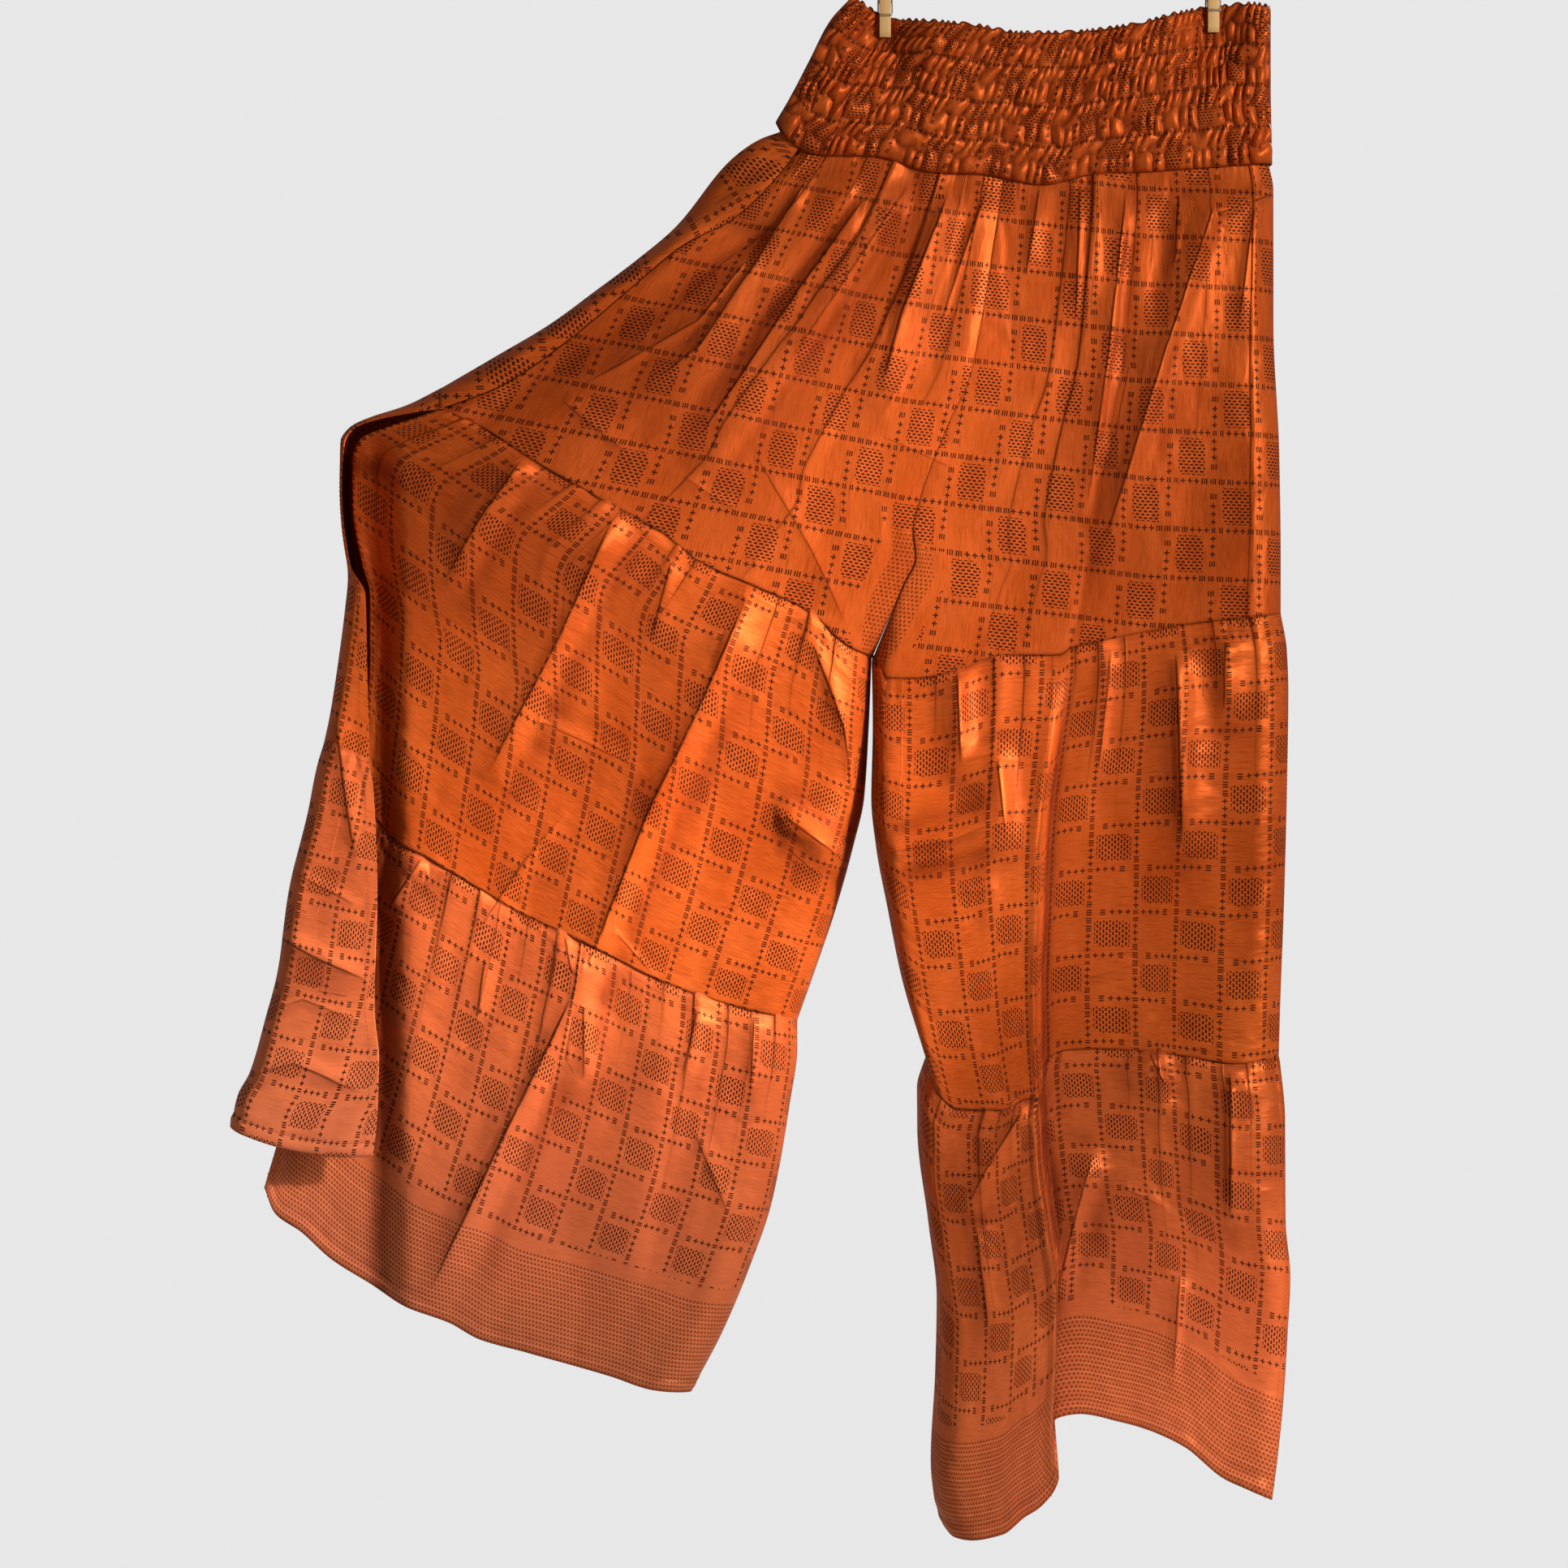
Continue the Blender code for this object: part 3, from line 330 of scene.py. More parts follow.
# Soft creases on the hidden side, of the same kind as those on the front
BACK_CREASES = (
    (((-125, -110), (-190, -210), (-262, -262)), 4, 18, 4, -1),
    (((-90, -110), (-140, -220), (-200, -320)), 4, 16, 4, 1),
    (((-55, -110), (-85, -230), (-110, -320)), 3, 14, 4, -1),
    (((5, -110), (0, -260)), 3, 14, 4, 1),
    (((45, -105), (50, -300)), 4, 18, 5, -1),
    (((105, -105), (98, -330)), 4, 16, 4, 1),
    (((-215, -385), (-290, -560), (-395, -800)), 4, 28, 6, -1),
    (((-320, -325), (-370, -430), (-425, -540)), 4, 20, 5, 1),
    (((-175, -410), (-205, -540), (-235, -680)), 3, 16, 4, -1),
    (((-280, -640), (-300, -780)), 3, 16, 4, 1),
    (((-40, -440), (-28, -560), (-20, -690)), 4, 18, 5, -1),
    (((60, -420), (64, -560)), 3, 18, 5, 1),
    (((110, -410), (118, -560)), 3, 14, 3, -1),
    (((20, -705), (12, -880)), 3, 18, 5, -1),
    (((100, -700), (106, -900)), 4, 16, 4, 1),
)

# How folds and creases start and end. Runs are shares of their paths
FOLD_RISE = (-0.05, 0.12)
FOLD_FADE = (0.75, 1.1)
CREASE_RISE = (0.0, 0.16)
CREASE_FADE = (0.7, 1.0)
CREASE_END = 0.25

# How round the top of a crease is
CREST = 1.2

# The painted shade lines, and the bump steps, that creases and the lap put on the cloth
LIT_WAY = (0.8, 0.6)
CREASE_REACH = 9.0
FULL_CREASE = 4.2
MARK_LEAD = (0.1, 0.5)
MARK_FADE = (14.0, 20.0)
TINY = 1e-9
LAP_EDGE = 0.03
LAP_MARK = 0.9
LAP_MARK_REACH = 20.0
LAP_MARK_FADE = 0.6
LAP_CLEAR = 1.3

# Wrinkles on the part that wraps round to the front
STRIP_CREASES = (
    (((-478, -455), (-470, -520), (-462, -566)), 2, 10, 2.4, -1),
    (((-520, -556), (-492, -574), (-462, -590)), 1.5, 12, 2.6, 1),
    (((-522, -606), (-490, -624), (-454, -640)), 1.5, 14, 3.4, -1),
    (((-534, -662), (-498, -652), (-454, -670)), 1.5, 12, 2.4, 1),
    (((-542, -706), (-505, -694), (-456, -716)), 1.5, 12, 2.2, -1),
)

# Fine shells. Rows and columns crowd towards the edges of a piece
COLUMNS = 140
ROWS = 96
CROWDING = 0.45
STRIP_COLUMNS = 34
STRIP_CROWDING = 0.6
WAIST_COLUMNS = 380
WAIST_ROWS = 72
WAIST_CROWDING = 0.5
FAR = 1000.0

# Seams and sides
SEAM_TUCK = 3.0
SEAM_DROP = 1.3
SEAM_ROLL = 5.0
GROOVE_DEPTH = 1.0
GROOVE_WIDTH = 4.0
SIDE_SINK = 3.5
SIDE_SINK_WIDTH = 9.0
SIDE_ROLL = 2.2
SIDE_ROLL_WIDTH = 6.0
SIDE_ROLL_RUN = (0.05, 0.35)
SLIT_OPEN = 0.25
SLIT_SPREAD = 0.6
HIP_TIER = 1
THIGH_TIER = 2
HEM_TIER = 3
FREE_LEFT = ("tier_2_front_left", "tier_3_front_left")

# Soft swells. Columns: shift of the seed, size, height
SWELLS = ((0.0, 70.0, 1.3), (5.0, 26.0, 0.4))
SWELL_START = 30.0
STRIP_SWELL = (3.0, 40.0, 1.2)
WANDER_WAVES = 6
WANDER_TURN = (1.7, 2.4)
WANDER_SIZE = (0.55, 0.3, 1.9)
WANDER_SQUASH = 0.45
WANDER_START = 3.1

# Hems and their stitches
HEM_DEPTH = 11.0
EDGE_HEM = 7.0
HEM_EDGE = 0.6
HEM_DOUBLING = 1.2
HEM_BULGE = 0.7
HEM_BULGE_WIDTH = 3.0
HEM_GROOVE = 0.7
HEM_GROOVE_WIDTH = 1.6
STITCH_LINE = 9.6
EDGE_STITCH_LINE = 6.2
LAP_STITCH_SHARE = 0.385

# Waves are tables. Columns: height, per millimetre, per channel, per turn, start
# Pleats below a seam. On the hip they are wider, longer, higher and more marked
GATHER_SWAY = ((0.31, 0.041, 0.0, 1.0, 0.0), (0.17, 0.097, 0.0, 2.1, 0.0))
GATHER_CLEAR = 9.0
PLAIN_PLEATS = (1.0, 1.0, 1.0, 1.0)
HIP_PLEATS = (2.3, 4.2, 1.3, 1.15)
PLEAT_CREST = 0.9
PLEAT_CURVE = 1.3
PLEAT_LENGTH = (0.45, 1.1, 2.39)
PLEAT_UNEVEN = (0.6, 0.4, 1.7)
PLEAT_FADE = 1.1
PLEAT_ROOT = 0.4
PLEAT_ROOT_RUN = 5.0
THIN_STEP = 0.01

# Small puckers along a seam
PUCKER_PITCH = 6.5
PUCKER_SWAY = (2.0, 0.11)
PUCKER_HEIGHT = 0.65
PUCKER_UNEVEN = (0.55, 0.45, 0.057)
PUCKER_REACH = 13.0
PUCKER_START = 6.0
PUCKER_FOOT = 0.3

# The smocked waist
CHANNELS = 8
ROW_RUN = 0.7
ROW_SWAY = ((0.14, 0.118, 0.0, 1.0, 0.0), (0.11, 0.291, 0.0, 0.0, 1.4))
LOW_CHANNELS = (3.5, 5.5)
LOW_PITCH = 0.3
PUFF_SHIFT = (0.4, 0.25)
PUFF_SHIFT_WAVES = ((1.0, 0.0, 2.9, 1.0, 0.0), (0.4, 0.021, 5.3, 0.0, 0.0))
PUFF_SLANT = 0.22
PUFF_UNEVEN = ((0.42, 0.061, 1.3, 1.0, 0.0), (0.3, 0.143, 2.1, 0.0, 0.0))
PUFF_TWIST = 0.25
PUFF_ROUND = 0.9
PUFF_DOME = (0.04, 0.5)
PUFF_SIZE = (0.66, 0.34)
PUFF_SIZE_WAVES = ((1.0, 0.037, 1.7, 0.0, 0.0), (1.0, 0.093, 1.0, 0.0, 0.0))
PUFF_FLOOR = 0.06
FIRST_ROW = 0.5
PUFF_CLEAR = 5.0
PINCH_PUFF = 0.3
GRIP_HALF_WIDTH = 9.0
GRIP_EASE = 4.0
GRIP_HEIGHTS = (-14.0, -9.0)
RUFFLE_END = 0.6
RUFFLE_HEIGHT = 1.2
RUFFLE_DEPTH = 0.9
RUFFLE_LAG = 0.8
WAIST_SEAM_SINK = 2.3
WAIST_SEAM_RUN = 0.55
WAIST_CLEAR = 0.1
WAIST_PRINT_SQUEEZE = 0.45
WAIST_PRINT_LENGTH = 1.2

# Where the print lies
FULLNESS = {2: 1.12, 3: 1.2}
PRINT_START = 12.0
LOWER_PRINT = 1.08
HIP_FAN = 0.42
HIP_ROW_DRIFT = ((-620.0, -100.0, 60.0, 160.0), (-112.0, -8.0, 12.0, 16.0))
SIDE_TURN = 24.0
BORDER_HEIGHT = 67.0
BORDER_CLEAR = 9.0
CENTRE_BORDER_HALF = 17.0
CENTRE_BORDER_FROM = 0.73

# Shade in hollows and along seams. Shades are a strength and a width
HOLLOW_CELLS = 4
HOLLOW_DEPTH = 2.2
WAIST_HOLLOW_SHARE = 0.36
SEAM_SHADE = (0.45, 1.5)
HEM_SHADE = (0.7, 1.6)
ROW_SHADE = (0.85, 0.9)
# Painted light: how far up from the hem the cloth is painted paler, and its share on the right leg
LIT_HEM_REACH = 190.0
LIT_HEM_RIGHT = 0.6


def smooth_step(low, high, value):
    """0 before low, 1 past high, and a soft rise between."""
    share = np.clip((np.asarray(value, float) - low) / (high - low), 0.0, 1.0)
    return share * share * (3.0 - 2.0 * share)


def smooth_curve(rows):
    """A curve through rows of (x, z) or (share, x, z) that never swings past a point."""
    rows = np.array(rows, float)
    if rows.shape[1] == 2:
        lengths = np.linalg.norm(np.diff(rows, axis=0), axis=1)
        shares = np.concatenate(([0.0], np.cumsum(lengths))) / lengths.sum()
        points = rows
    else:
        shares = rows[:, 0]
        points = rows[:, 1:]
    steps = np.diff(shares)[:, None]
    rises = np.diff(points, axis=0) / steps
    slopes = np.zeros_like(points)
    slopes[0] = rises[0]
    slopes[-1] = rises[-1]
    product = rises[:-1] * rises[1:]
    total = rises[:-1] + rises[1:]
    same_way = product > 0.0
    slopes[1:-1] = np.where(same_way, 2.0 * product / np.where(same_way, total, 1.0), 0.0)

    def at(where):
        where = np.asarray(where, float)
        index = np.clip(np.searchsorted(shares, where, side="right") - 1, 0, len(steps) - 1)
        step = steps[index]
        local = ((where - shares[index]) / step[..., 0])[..., None]
        start = points[index] + (points[index + 1] - points[index]) * local**2 * (3 - 2 * local)
        leave = slopes[index] * step * local * (1 - local) ** 2
        arrive = slopes[index + 1] * step * local**2 * (local - 1)
        return start + leave + arrive

    return at


def turned(distance, radius, kept):
    """Share of the full depth at a distance from a side where the cloth turns round."""
    side = np.sqrt(1.0 - np.square(kept))
    cosine = np.clip(side - distance / radius, 0.0, 1.0)
    return np.sqrt(1.0 - cosine**2)


def closed(down):
    return np.zeros_like(down)


def full(down):
    return np.ones_like(down)


def crotch(down):
    """The centre seam runs at full depth, and dives to the crotch at its foot."""
    rise = (1.0 - down) * np.linalg.norm(np.subtract(CENTRE[-1], CENTRE[0]))
    return turned(rise, CROTCH_RUN, 0.0)


def slit_top(down):
    """The slit on the right leg is shut at its top and opens towards the hem."""
    return SLIT_OPEN * down


def slit_foot(down):
    return SLIT_OPEN + SLIT_SPREAD * down


def fold_height(folds, x, z):
    """Outward height of all the folds in a table, each a soft ridge that fades at its ends."""
    total = np.zeros_like(x)
    for start_x, start_z, end_x, end_z, half_width, height, lean in folds:
        run = math.hypot(end_x - start_x, end_z - start_z)
        way_x = (end_x - start_x) / run
        way_z = (end_z - start_z) / run
        along = ((x - start_x) * way_x + (z - start_z) * way_z) / run
        across = (x - start_x) * way_z - (z - start_z) * way_x
        ends = smooth_step(*FOLD_RISE, along) * (1.0 - smooth_step(*FOLD_FADE, along))
        width = half_width * (1.0 + lean * np.tanh(across / half_width))
        total = total + height * ends * np.exp(-((across / width) ** 2))
    return total


def path_distance(path, x, z):
    """How far points lie from a path, on which side of it, and how far along it, as a share."""
    spans = list(zip(path[:-1], path[1:]))
    runs = [math.dist(start, end) for start, end in spans]
    nearest = np.full(x.shape, np.inf)
    across = np.zeros_like(x)
    share = np.zeros_like(x)
    done = 0.0
    for (start, end), run in zip(spans, runs):
        way_x = (end[0] - start[0]) / run
        way_z = (end[1] - start[1]) / run
        off_x = x - start[0]
        off_z = z - start[1]
        along = np.clip(off_x * way_x + off_z * way_z, 0.0, run)
        distance = np.hypot(off_x - along * way_x, off_z - along * way_z)
        closer = distance < nearest
        nearest = np.where(closer, distance, nearest)
        across = np.where(closer, off_x * way_z - off_z * way_x, across)
        share = np.where(closer, (done + along) / sum(runs), share)
        done += run
    ends = smooth_step(*CREASE_RISE, share) * (1.0 - smooth_step(*CREASE_FADE, share))
    return nearest, across, ends


def crease_height(creases, x, z):
    """Outward height of creases, each steep on one side of its path and gentle on the other."""
    total = np.zeros_like(x)
    for path, steep, gentle, height, side in creases:
        nearest, across, ends = path_distance(path, x, z)
        blend = smooth_step(-CREST, CREST, side * across)
        width = steep + (gentle - steep) * blend
        rounded = np.sqrt(nearest**2 + CREST**2) - CREST
        faded = CREASE_END + (1.0 - CREASE_END) * ends
        total = total + height * faded * np.exp(-rounded / width) * (ends > 0)
    return total


def crease_marks(creases, x, z):
    """How far each point lies from the sharpest crease, above 0 on its lit side, and its strength."""
    lit = np.full(x.shape, FAR)
    strength = np.zeros_like(x)
    best = np.zeros_like(x)
    second = np.zeros_like(x)
    for path, _, _, height, _ in creases:
        nearest, across, ends = path_distance(path, x, z)
        run_x = path[-1][0] - path[0][0]
        run_z = path[-1][1] - path[0][1]
        faces_light = 1.0 if run_x * LIT_WAY[1] - run_z * LIT_WAY[0] > 0 else -1.0
        weight = ends * height * np.exp(-nearest / CREASE_REACH)
        closer = weight > best
        second = np.where(closer, best, np.maximum(second, weight))
        best = np.where(closer, weight, best)
        lit = np.where(closer, -faces_light * across, lit)
        strength = np.where(closer, np.clip(ends * height / FULL_CREASE, 0.0, 1.0), strength)
    # no mark where two creases are equally near, and none far from all of them
    lead = 1.0 - second / np.maximum(best, TINY)
    return lit, strength * smooth_step(*MARK_LEAD, lead) * (1.0 - smooth_step(*MARK_FADE, np.abs(lit)))


def from_pegs(x):
    """Distance to the nearer peg."""
    return np.min([np.abs(x - centre) for centre in PEG_CENTRES], axis=0)


def pinch(x, z):
    """1 where a peg holds the two layers of the waist together, 0 away from the pegs."""
    return (1.0 - smooth_step(PINCH_FLAT, PINCH_REACH, from_pegs(x))) * smooth_step(*PINCH_HEIGHTS, z)


def hang_depth(x, z):
    """Half the distance between the front and the back layer, before folds."""
    depth = np.interp(z, DEPTH_HEIGHTS, HALF_DEPTHS)
    return depth + (PINCHED_DEPTH - depth) * pinch(x, z)


def front_depth(x, z):
    inside = 1.0 - smooth_step(*RECESS_SIDES, x)
    recess = RECESS * inside * smooth_step(-RECESS_HEIGHTS[0], -RECESS_HEIGHTS[1], -z)
    folds = fold_height(FRONT_FOLDS, x, z) + crease_height(FRONT_CREASES, x, z)
    return hang_depth(x, z) + folds - recess


def back_depth(x, z):
    return hang_depth(x, z) + fold_height(BACK_FOLDS, x, z) + crease_height(BACK_CREASES, x, z)


def strip_depth(x, z):
    """Depth of the back layer where it wraps round to the front of the left leg."""
    low = smooth_step(-FLAP_HEIGHTS[0], -FLAP_HEIGHTS[1], -z)
    ridge = fold_height(FRONT_FOLDS, x, z) * (1.0 - low)
    wrinkles = crease_height(STRIP_CREASES, x, z)
    return hang_depth(x, z) + ridge + wrinkles + FLAP_DEPTH * low


def lap_height(across, down):
    """The left part of the right leg's front laps over the right part."""
    return LAP_DEPTH * (1.0 - smooth_step(*LAP_SHARES, across)) * smooth_step(0.0, LAP_START, down)


def waves(rows, u, number=0.0, turn=0.0):
    """Sine waves along the cloth, one for each row of a table."""
    return [
        height * np.sin(u * per_u + number * per_number + turn * per_turn + start)
        for height, per_u, per_number, per_turn, start in rows
    ]


def wander(u, v, seed, size):
    """Soft uneven swells, the same each time, about size across."""
    total = np.zeros(np.broadcast(u, v).shape)
    for step in range(WANDER_WAVES):
        angle = seed * WANDER_TURN[0] + step * WANDER_TURN[1]
        run = size * (WANDER_SIZE[0] + WANDER_SIZE[1] * math.sin(seed + step * WANDER_SIZE[2]))
        along = u * math.cos(angle) + v * math.sin(angle) * WANDER_SQUASH
        total = total + np.sin(along / run * math.tau / 2 + angle * WANDER_START)
    return total / WANDER_WAVES


@dataclass
class Panel:
    """One cut piece of cloth between four outlines, as it hangs."""

    name: str
    side: int
    top: tuple
    bottom: tuple
    left: tuple
    right: tuple
    keep_left: Callable = closed
    keep_right: Callable = closed
    lap_from: float | None = None
    strip_edge: tuple | None = None
    seed: float = 0.0

    def __post_init__(self):
        for edge in ("top", "bottom", "left", "right", "strip_edge"):
            rows = getattr(self, edge)
            setattr(self, edge, rows and smooth_curve(rows))

    @property
    def tier(self):
        return int(self.name.split("_")[1])

    @property
    def tucked(self):
        return self.tier == HIP_TIER

    @property
    def hemmed(self):
        return self.tier == HEM_TIER


# Every cut piece of the three tiers
PANELS = (
    Panel(
        "tier_1_front_left", FRONT, HIP_TOP_LEFT, HIP_HEM_LEFT, SIDE_SEAM, CENTRE,
        full, crotch, seed=1.0,
    ),
    Panel(
        "tier_1_front_right", FRONT, HIP_TOP_RIGHT, HIP_HEM_RIGHT, CENTRE, HIP_SIDE_RIGHT,
        crotch, seed=2.3,
    ),
    Panel(
        "tier_1_back_left", BACK, BACK_HIP_TOP_LEFT, BACK_HIP_HEM_LEFT, SIDE_FOLD, CENTRE,
        keep_right=crotch, strip_edge=SIDE_SEAM, seed=3.1,
    ),
    Panel(
        "tier_1_back_right", BACK, HIP_TOP_RIGHT, BACK_HIP_HEM_RIGHT, CENTRE, HIP_SIDE_RIGHT,
        crotch, seed=4.7,
    ),
    Panel("tier_2_front_left", FRONT, HIP_HEM_LEFT, SEAM_LEFT, SLIT_LEFT_2, INSEAM_LEFT_2, full, seed=6.2),
    Panel(
        "tier_2_front_right", FRONT, HIP_HEM_RIGHT, SEAM_RIGHT, INSEAM_RIGHT_2, SLIT_RIGHT_2,
        keep_right=slit_top, lap_from=0.0, seed=7.6,
    ),
    Panel(
        "tier_2_back_left", BACK, BACK_HIP_HEM_LEFT, BACK_SEAM_LEFT, FOLD_LEFT_2, INSEAM_LEFT_2,
        strip_edge=FLAP_EDGE_2, seed=8.9,
    ),
    Panel(
        "tier_2_back_right", BACK, BACK_HIP_HEM_RIGHT, BACK_SEAM_RIGHT, INSEAM_RIGHT_2, SLIT_RIGHT_2,
        keep_right=slit_top, seed=10.3,
    ),
    Panel("tier_3_front_left", FRONT, SEAM_LEFT, HEM_LEFT, SLIT_LEFT_3, INSEAM_LEFT_3, full, seed=7.2),
    Panel(
        "tier_3_front_right", FRONT, SEAM_RIGHT, HEM_RIGHT, INSEAM_RIGHT_3, SLIT_RIGHT_3,
        keep_right=slit_foot, lap_from=1.0, seed=8.6,
    ),
    Panel(
        "tier_3_back_left", BACK, BACK_SEAM_LEFT, BACK_HEM_LEFT, FOLD_LEFT_3, INSEAM_LEFT_3,
        strip_edge=FLAP_EDGE_3, seed=9.9,
    ),
    Panel(
        "tier_3_back_right", BACK, BACK_SEAM_RIGHT, BACK_HEM_RIGHT, INSEAM_RIGHT_3, SLIT_RIGHT_3,
        keep_right=slit_foot, seed=11.3,
    ),
)


def between_outlines(panel, across, down):
    """Points (x, z) of the panel's net, blended from its four outlines."""
    u = across[None, :, None]
    v = down[:, None, None]
    top = panel.top(across)[None, :, :]
    bottom = panel.bottom(across)[None, :, :]
    left = panel.left(down)[:, None, :]
    right = panel.right(down)[:, None, :]
    corners = (1 - v) * ((1 - u) * top[:, :1] + u * top[:, -1:])
    corners = corners + v * ((1 - u) * bottom[:, :1] + u * bottom[:, -1:])
    return (1 - v) * top + v * bottom + (1 - u) * left + u * right - corners


def reach(points, axis=1):
    """Distance along a net from its first column, or from its first row."""
    steps = np.linalg.norm(np.diff(points, axis=axis), axis=-1)
    shape = list(steps.shape)
    shape[axis] = 1
    return np.concatenate((np.zeros(shape), np.cumsum(steps, axis=axis)), axis=axis)


def crowded(count, crowding=CROWDING):
    """Shares from 0 to 1 that crowd towards both ends."""
    even = np.linspace(0.0, 1.0, count + 1)
    return even - crowding * np.sin(math.tau * even) / math.tau


def gather_profile(cut_u, below, seed, pitch, far):
    """Uneven pleats below a seam, steep on the left: height, what is left of it, place and phase."""
    phase = sum(waves(GATHER_SWAY, cut_u, turn=seed), cut_u / pitch)
    pleat = np.floor(phase)
    share = 1.0 - (phase - pleat)
    length = far * (PLEAT_LENGTH[0] + PLEAT_LENGTH[1] * np.abs(np.sin(pleat * PLEAT_LENGTH[2] + seed)))
    root = PLEAT_ROOT + (1.0 - PLEAT_ROOT) * smooth_step(0.0, PLEAT_ROOT_RUN, below)
    fade = np.exp(-((below / length) ** PLEAT_FADE)) * root
    height = (share / PLEAT_CREST) ** PLEAT_CURVE * (1.0 - smooth_step(PLEAT_CREST, 1.0, share))
    uneven = PLEAT_UNEVEN[0] + PLEAT_UNEVEN[1] * np.sin(pleat * PLEAT_UNEVEN[2] + 2 * seed)
    return height * uneven, fade * uneven, share, phase


def pleated_cut(print_u, cut_u, net, share, fade, pitch):
    """Print coordinates with the cloth of each pleat mostly hidden in its fold."""
    wide = np.gradient(reach(net), axis=1)
    full = np.maximum(np.gradient(print_u, axis=1) / np.maximum(wide, THIN_STEP), 1.0)
    pitch = pitch * np.gradient(print_u, axis=1) / np.gradient(cut_u, axis=1)
    slow = share / full
    crest = PLEAT_CREST / full
    hidden = crest + (1.0 - crest) * (share - PLEAT_CREST) / (1.0 - PLEAT_CREST)
    shown = np.where(share < PLEAT_CREST, slow, hidden)
    return print_u - pitch * (shown - share) * fade


def tucked_depth(depth, x, z, down):
    """Depth of the hip tier, whose top lies inside the waist."""
    shown = smooth_step(0.0, TUCK_END, down)[:, None]
    plain = hang_depth(x, z)
    return plain + (depth - plain) * shown - TUCK * (1.0 - shown)


def slip_under(flat):
    """Moves the first row of a net up under the seam above it."""
    rise = flat[0] - flat[2]
    flat[0] += rise / np.linalg.norm(rise, axis=1)[:, None] * SEAM_TUCK


def plain_net(panel, across, down):
    """The shell's middle surface, the outward sides of its end columns, and its cut coordinates."""
    flat = between_outlines(panel, across, down)
    from_left = reach(flat)
    from_right = from_left[:, -1:] - from_left
    below = reach(flat, 0)
    keep_left = panel.keep_left(down)
    keep_right = panel.keep_right(down)
    share = turned(from_left, TURN, keep_left[:, None]) * turned(from_right, TURN, keep_right[:, None])
    x = flat[..., 0]
    z = flat[..., 1]
    depth = front_depth(x, z) if panel.side == FRONT else back_depth(x, z)
    if panel.lap_from is not None:
        depth = depth + lap_height(across[None, :], panel.lap_from + down[:, None])
    if panel.tucked:
        depth = tucked_depth(depth, x, z, down)
    else:
        depth = depth - SEAM_DROP * (1.0 - smooth_step(0.0, SEAM_ROLL, below))
    if panel.tucked:
        to_centre = from_right if panel.keep_right is crotch else from_left
        depth = depth - GROOVE_DEPTH * np.exp(-to_centre / GROOVE_WIDTH)
    if panel.name == "tier_1_front_left":
        depth = depth - SIDE_SINK * np.exp(-from_left / SIDE_SINK_WIDTH)
    cut_u = across[None, :] * from_left[-1, -1] + 0 * below
    cut_v = below / below[-1] * below[-1].mean()
    side_left = np.sqrt(1.0 - keep_left**2)
    side_right = np.sqrt(1.0 - keep_right**2)
    flat[:, 0, 0] += side_left * SOLID_WALL / 2
    flat[:, -1, 0] -= side_right * SOLID_WALL / 2
    if not panel.tucked:
        slip_under(flat)
    soft = sum(wander(cut_u, cut_v, panel.seed + shift, size) * height for shift, size, height in SWELLS)
    depth = depth + soft * smooth_step(0.0, SWELL_START, below)
    relief = depth - hang_depth(x, z)
    y = panel.side * depth * share
    net = np.stack((x, y, z), axis=-1)
    none = np.zeros_like(down)
    first = np.stack((-side_left, panel.side * keep_left, none), axis=1)
    last = np.stack((side_right, panel.side * keep_right, none), axis=1)
    return net, first, last, cut_u, cut_v, relief


def wrapped_net(panel, across, down):
    """A back panel whose left part wraps round to the front, up to its strip edge."""
    net, _, last, cut_u, cut_v, relief = plain_net(panel, across, down)
    net[:, 0, 1] = 0.0
    fold = panel.left(down)
    edge = panel.strip_edge(down)
    width = np.linalg.norm(fold - edge, axis=1)
    share = crowded(STRIP_COLUMNS, STRIP_CROWDING)[:-1][None, :, None]
    flat = edge[:, None, :] + (fold - edge)[:, None, :] * share
    bow = FLAP_BOW * 4 * share[..., 0] * (1 - share[..., 0])
    flat[..., 1] -= bow * (down[:, None] ** 2) * panel.hemmed
    to_fold = width[:, None] * (1.0 - share[..., 0])
    x = flat[..., 0]
    z = flat[..., 1]
    shift, size, height = STRIP_SWELL
    depth = strip_depth(x, z) + wander(x, z, panel.seed + shift, size) * height
    if panel.tucked:
        rolled = np.exp(-(width[:, None] - to_fold) / SIDE_ROLL_WIDTH)
        depth = depth + SIDE_ROLL * rolled * smooth_step(*SIDE_ROLL_RUN, down)[:, None]
    if panel.tucked:
        depth = tucked_depth(depth, x, z, down)
    keep = turned(width, FOLD_TURN, 0.0)
    side = np.sqrt(1.0 - keep**2)
    inwards = (fold - edge) / width[:, None]
    flat[:, 0] += inwards * (side * SOLID_WALL / 2)[:, None]
    if not panel.tucked:
        slip_under(flat)
    y = FRONT * depth * turned(to_fold, FOLD_TURN, 0.0)
    strip = np.stack((x, y, z), axis=-1)
    first = np.stack((-side, FRONT * keep, np.zeros_like(down)), axis=1)
    strip_v = np.broadcast_to(cut_v[:, :1], to_fold.shape)
    net = np.concatenate((strip, net), axis=1)
    cut_u = np.concatenate((-to_fold, cut_u), axis=1)
    cut_v = np.concatenate((strip_v, cut_v), axis=1)
    relief = np.concatenate((depth - hang_depth(x, z), relief), axis=1)
    return net, first, last, cut_u, cut_v, relief


def outward(net, sign, first, last):
    """Unit normals of a net, with its end columns as stated."""
    normals = sign * np.cross(np.gradient(net, axis=1), np.gradient(net, axis=0))
    normals /= np.linalg.norm(normals, axis=2)[..., None]
    normals[:, 0] = first
    normals[:, -1] = last
    return normals


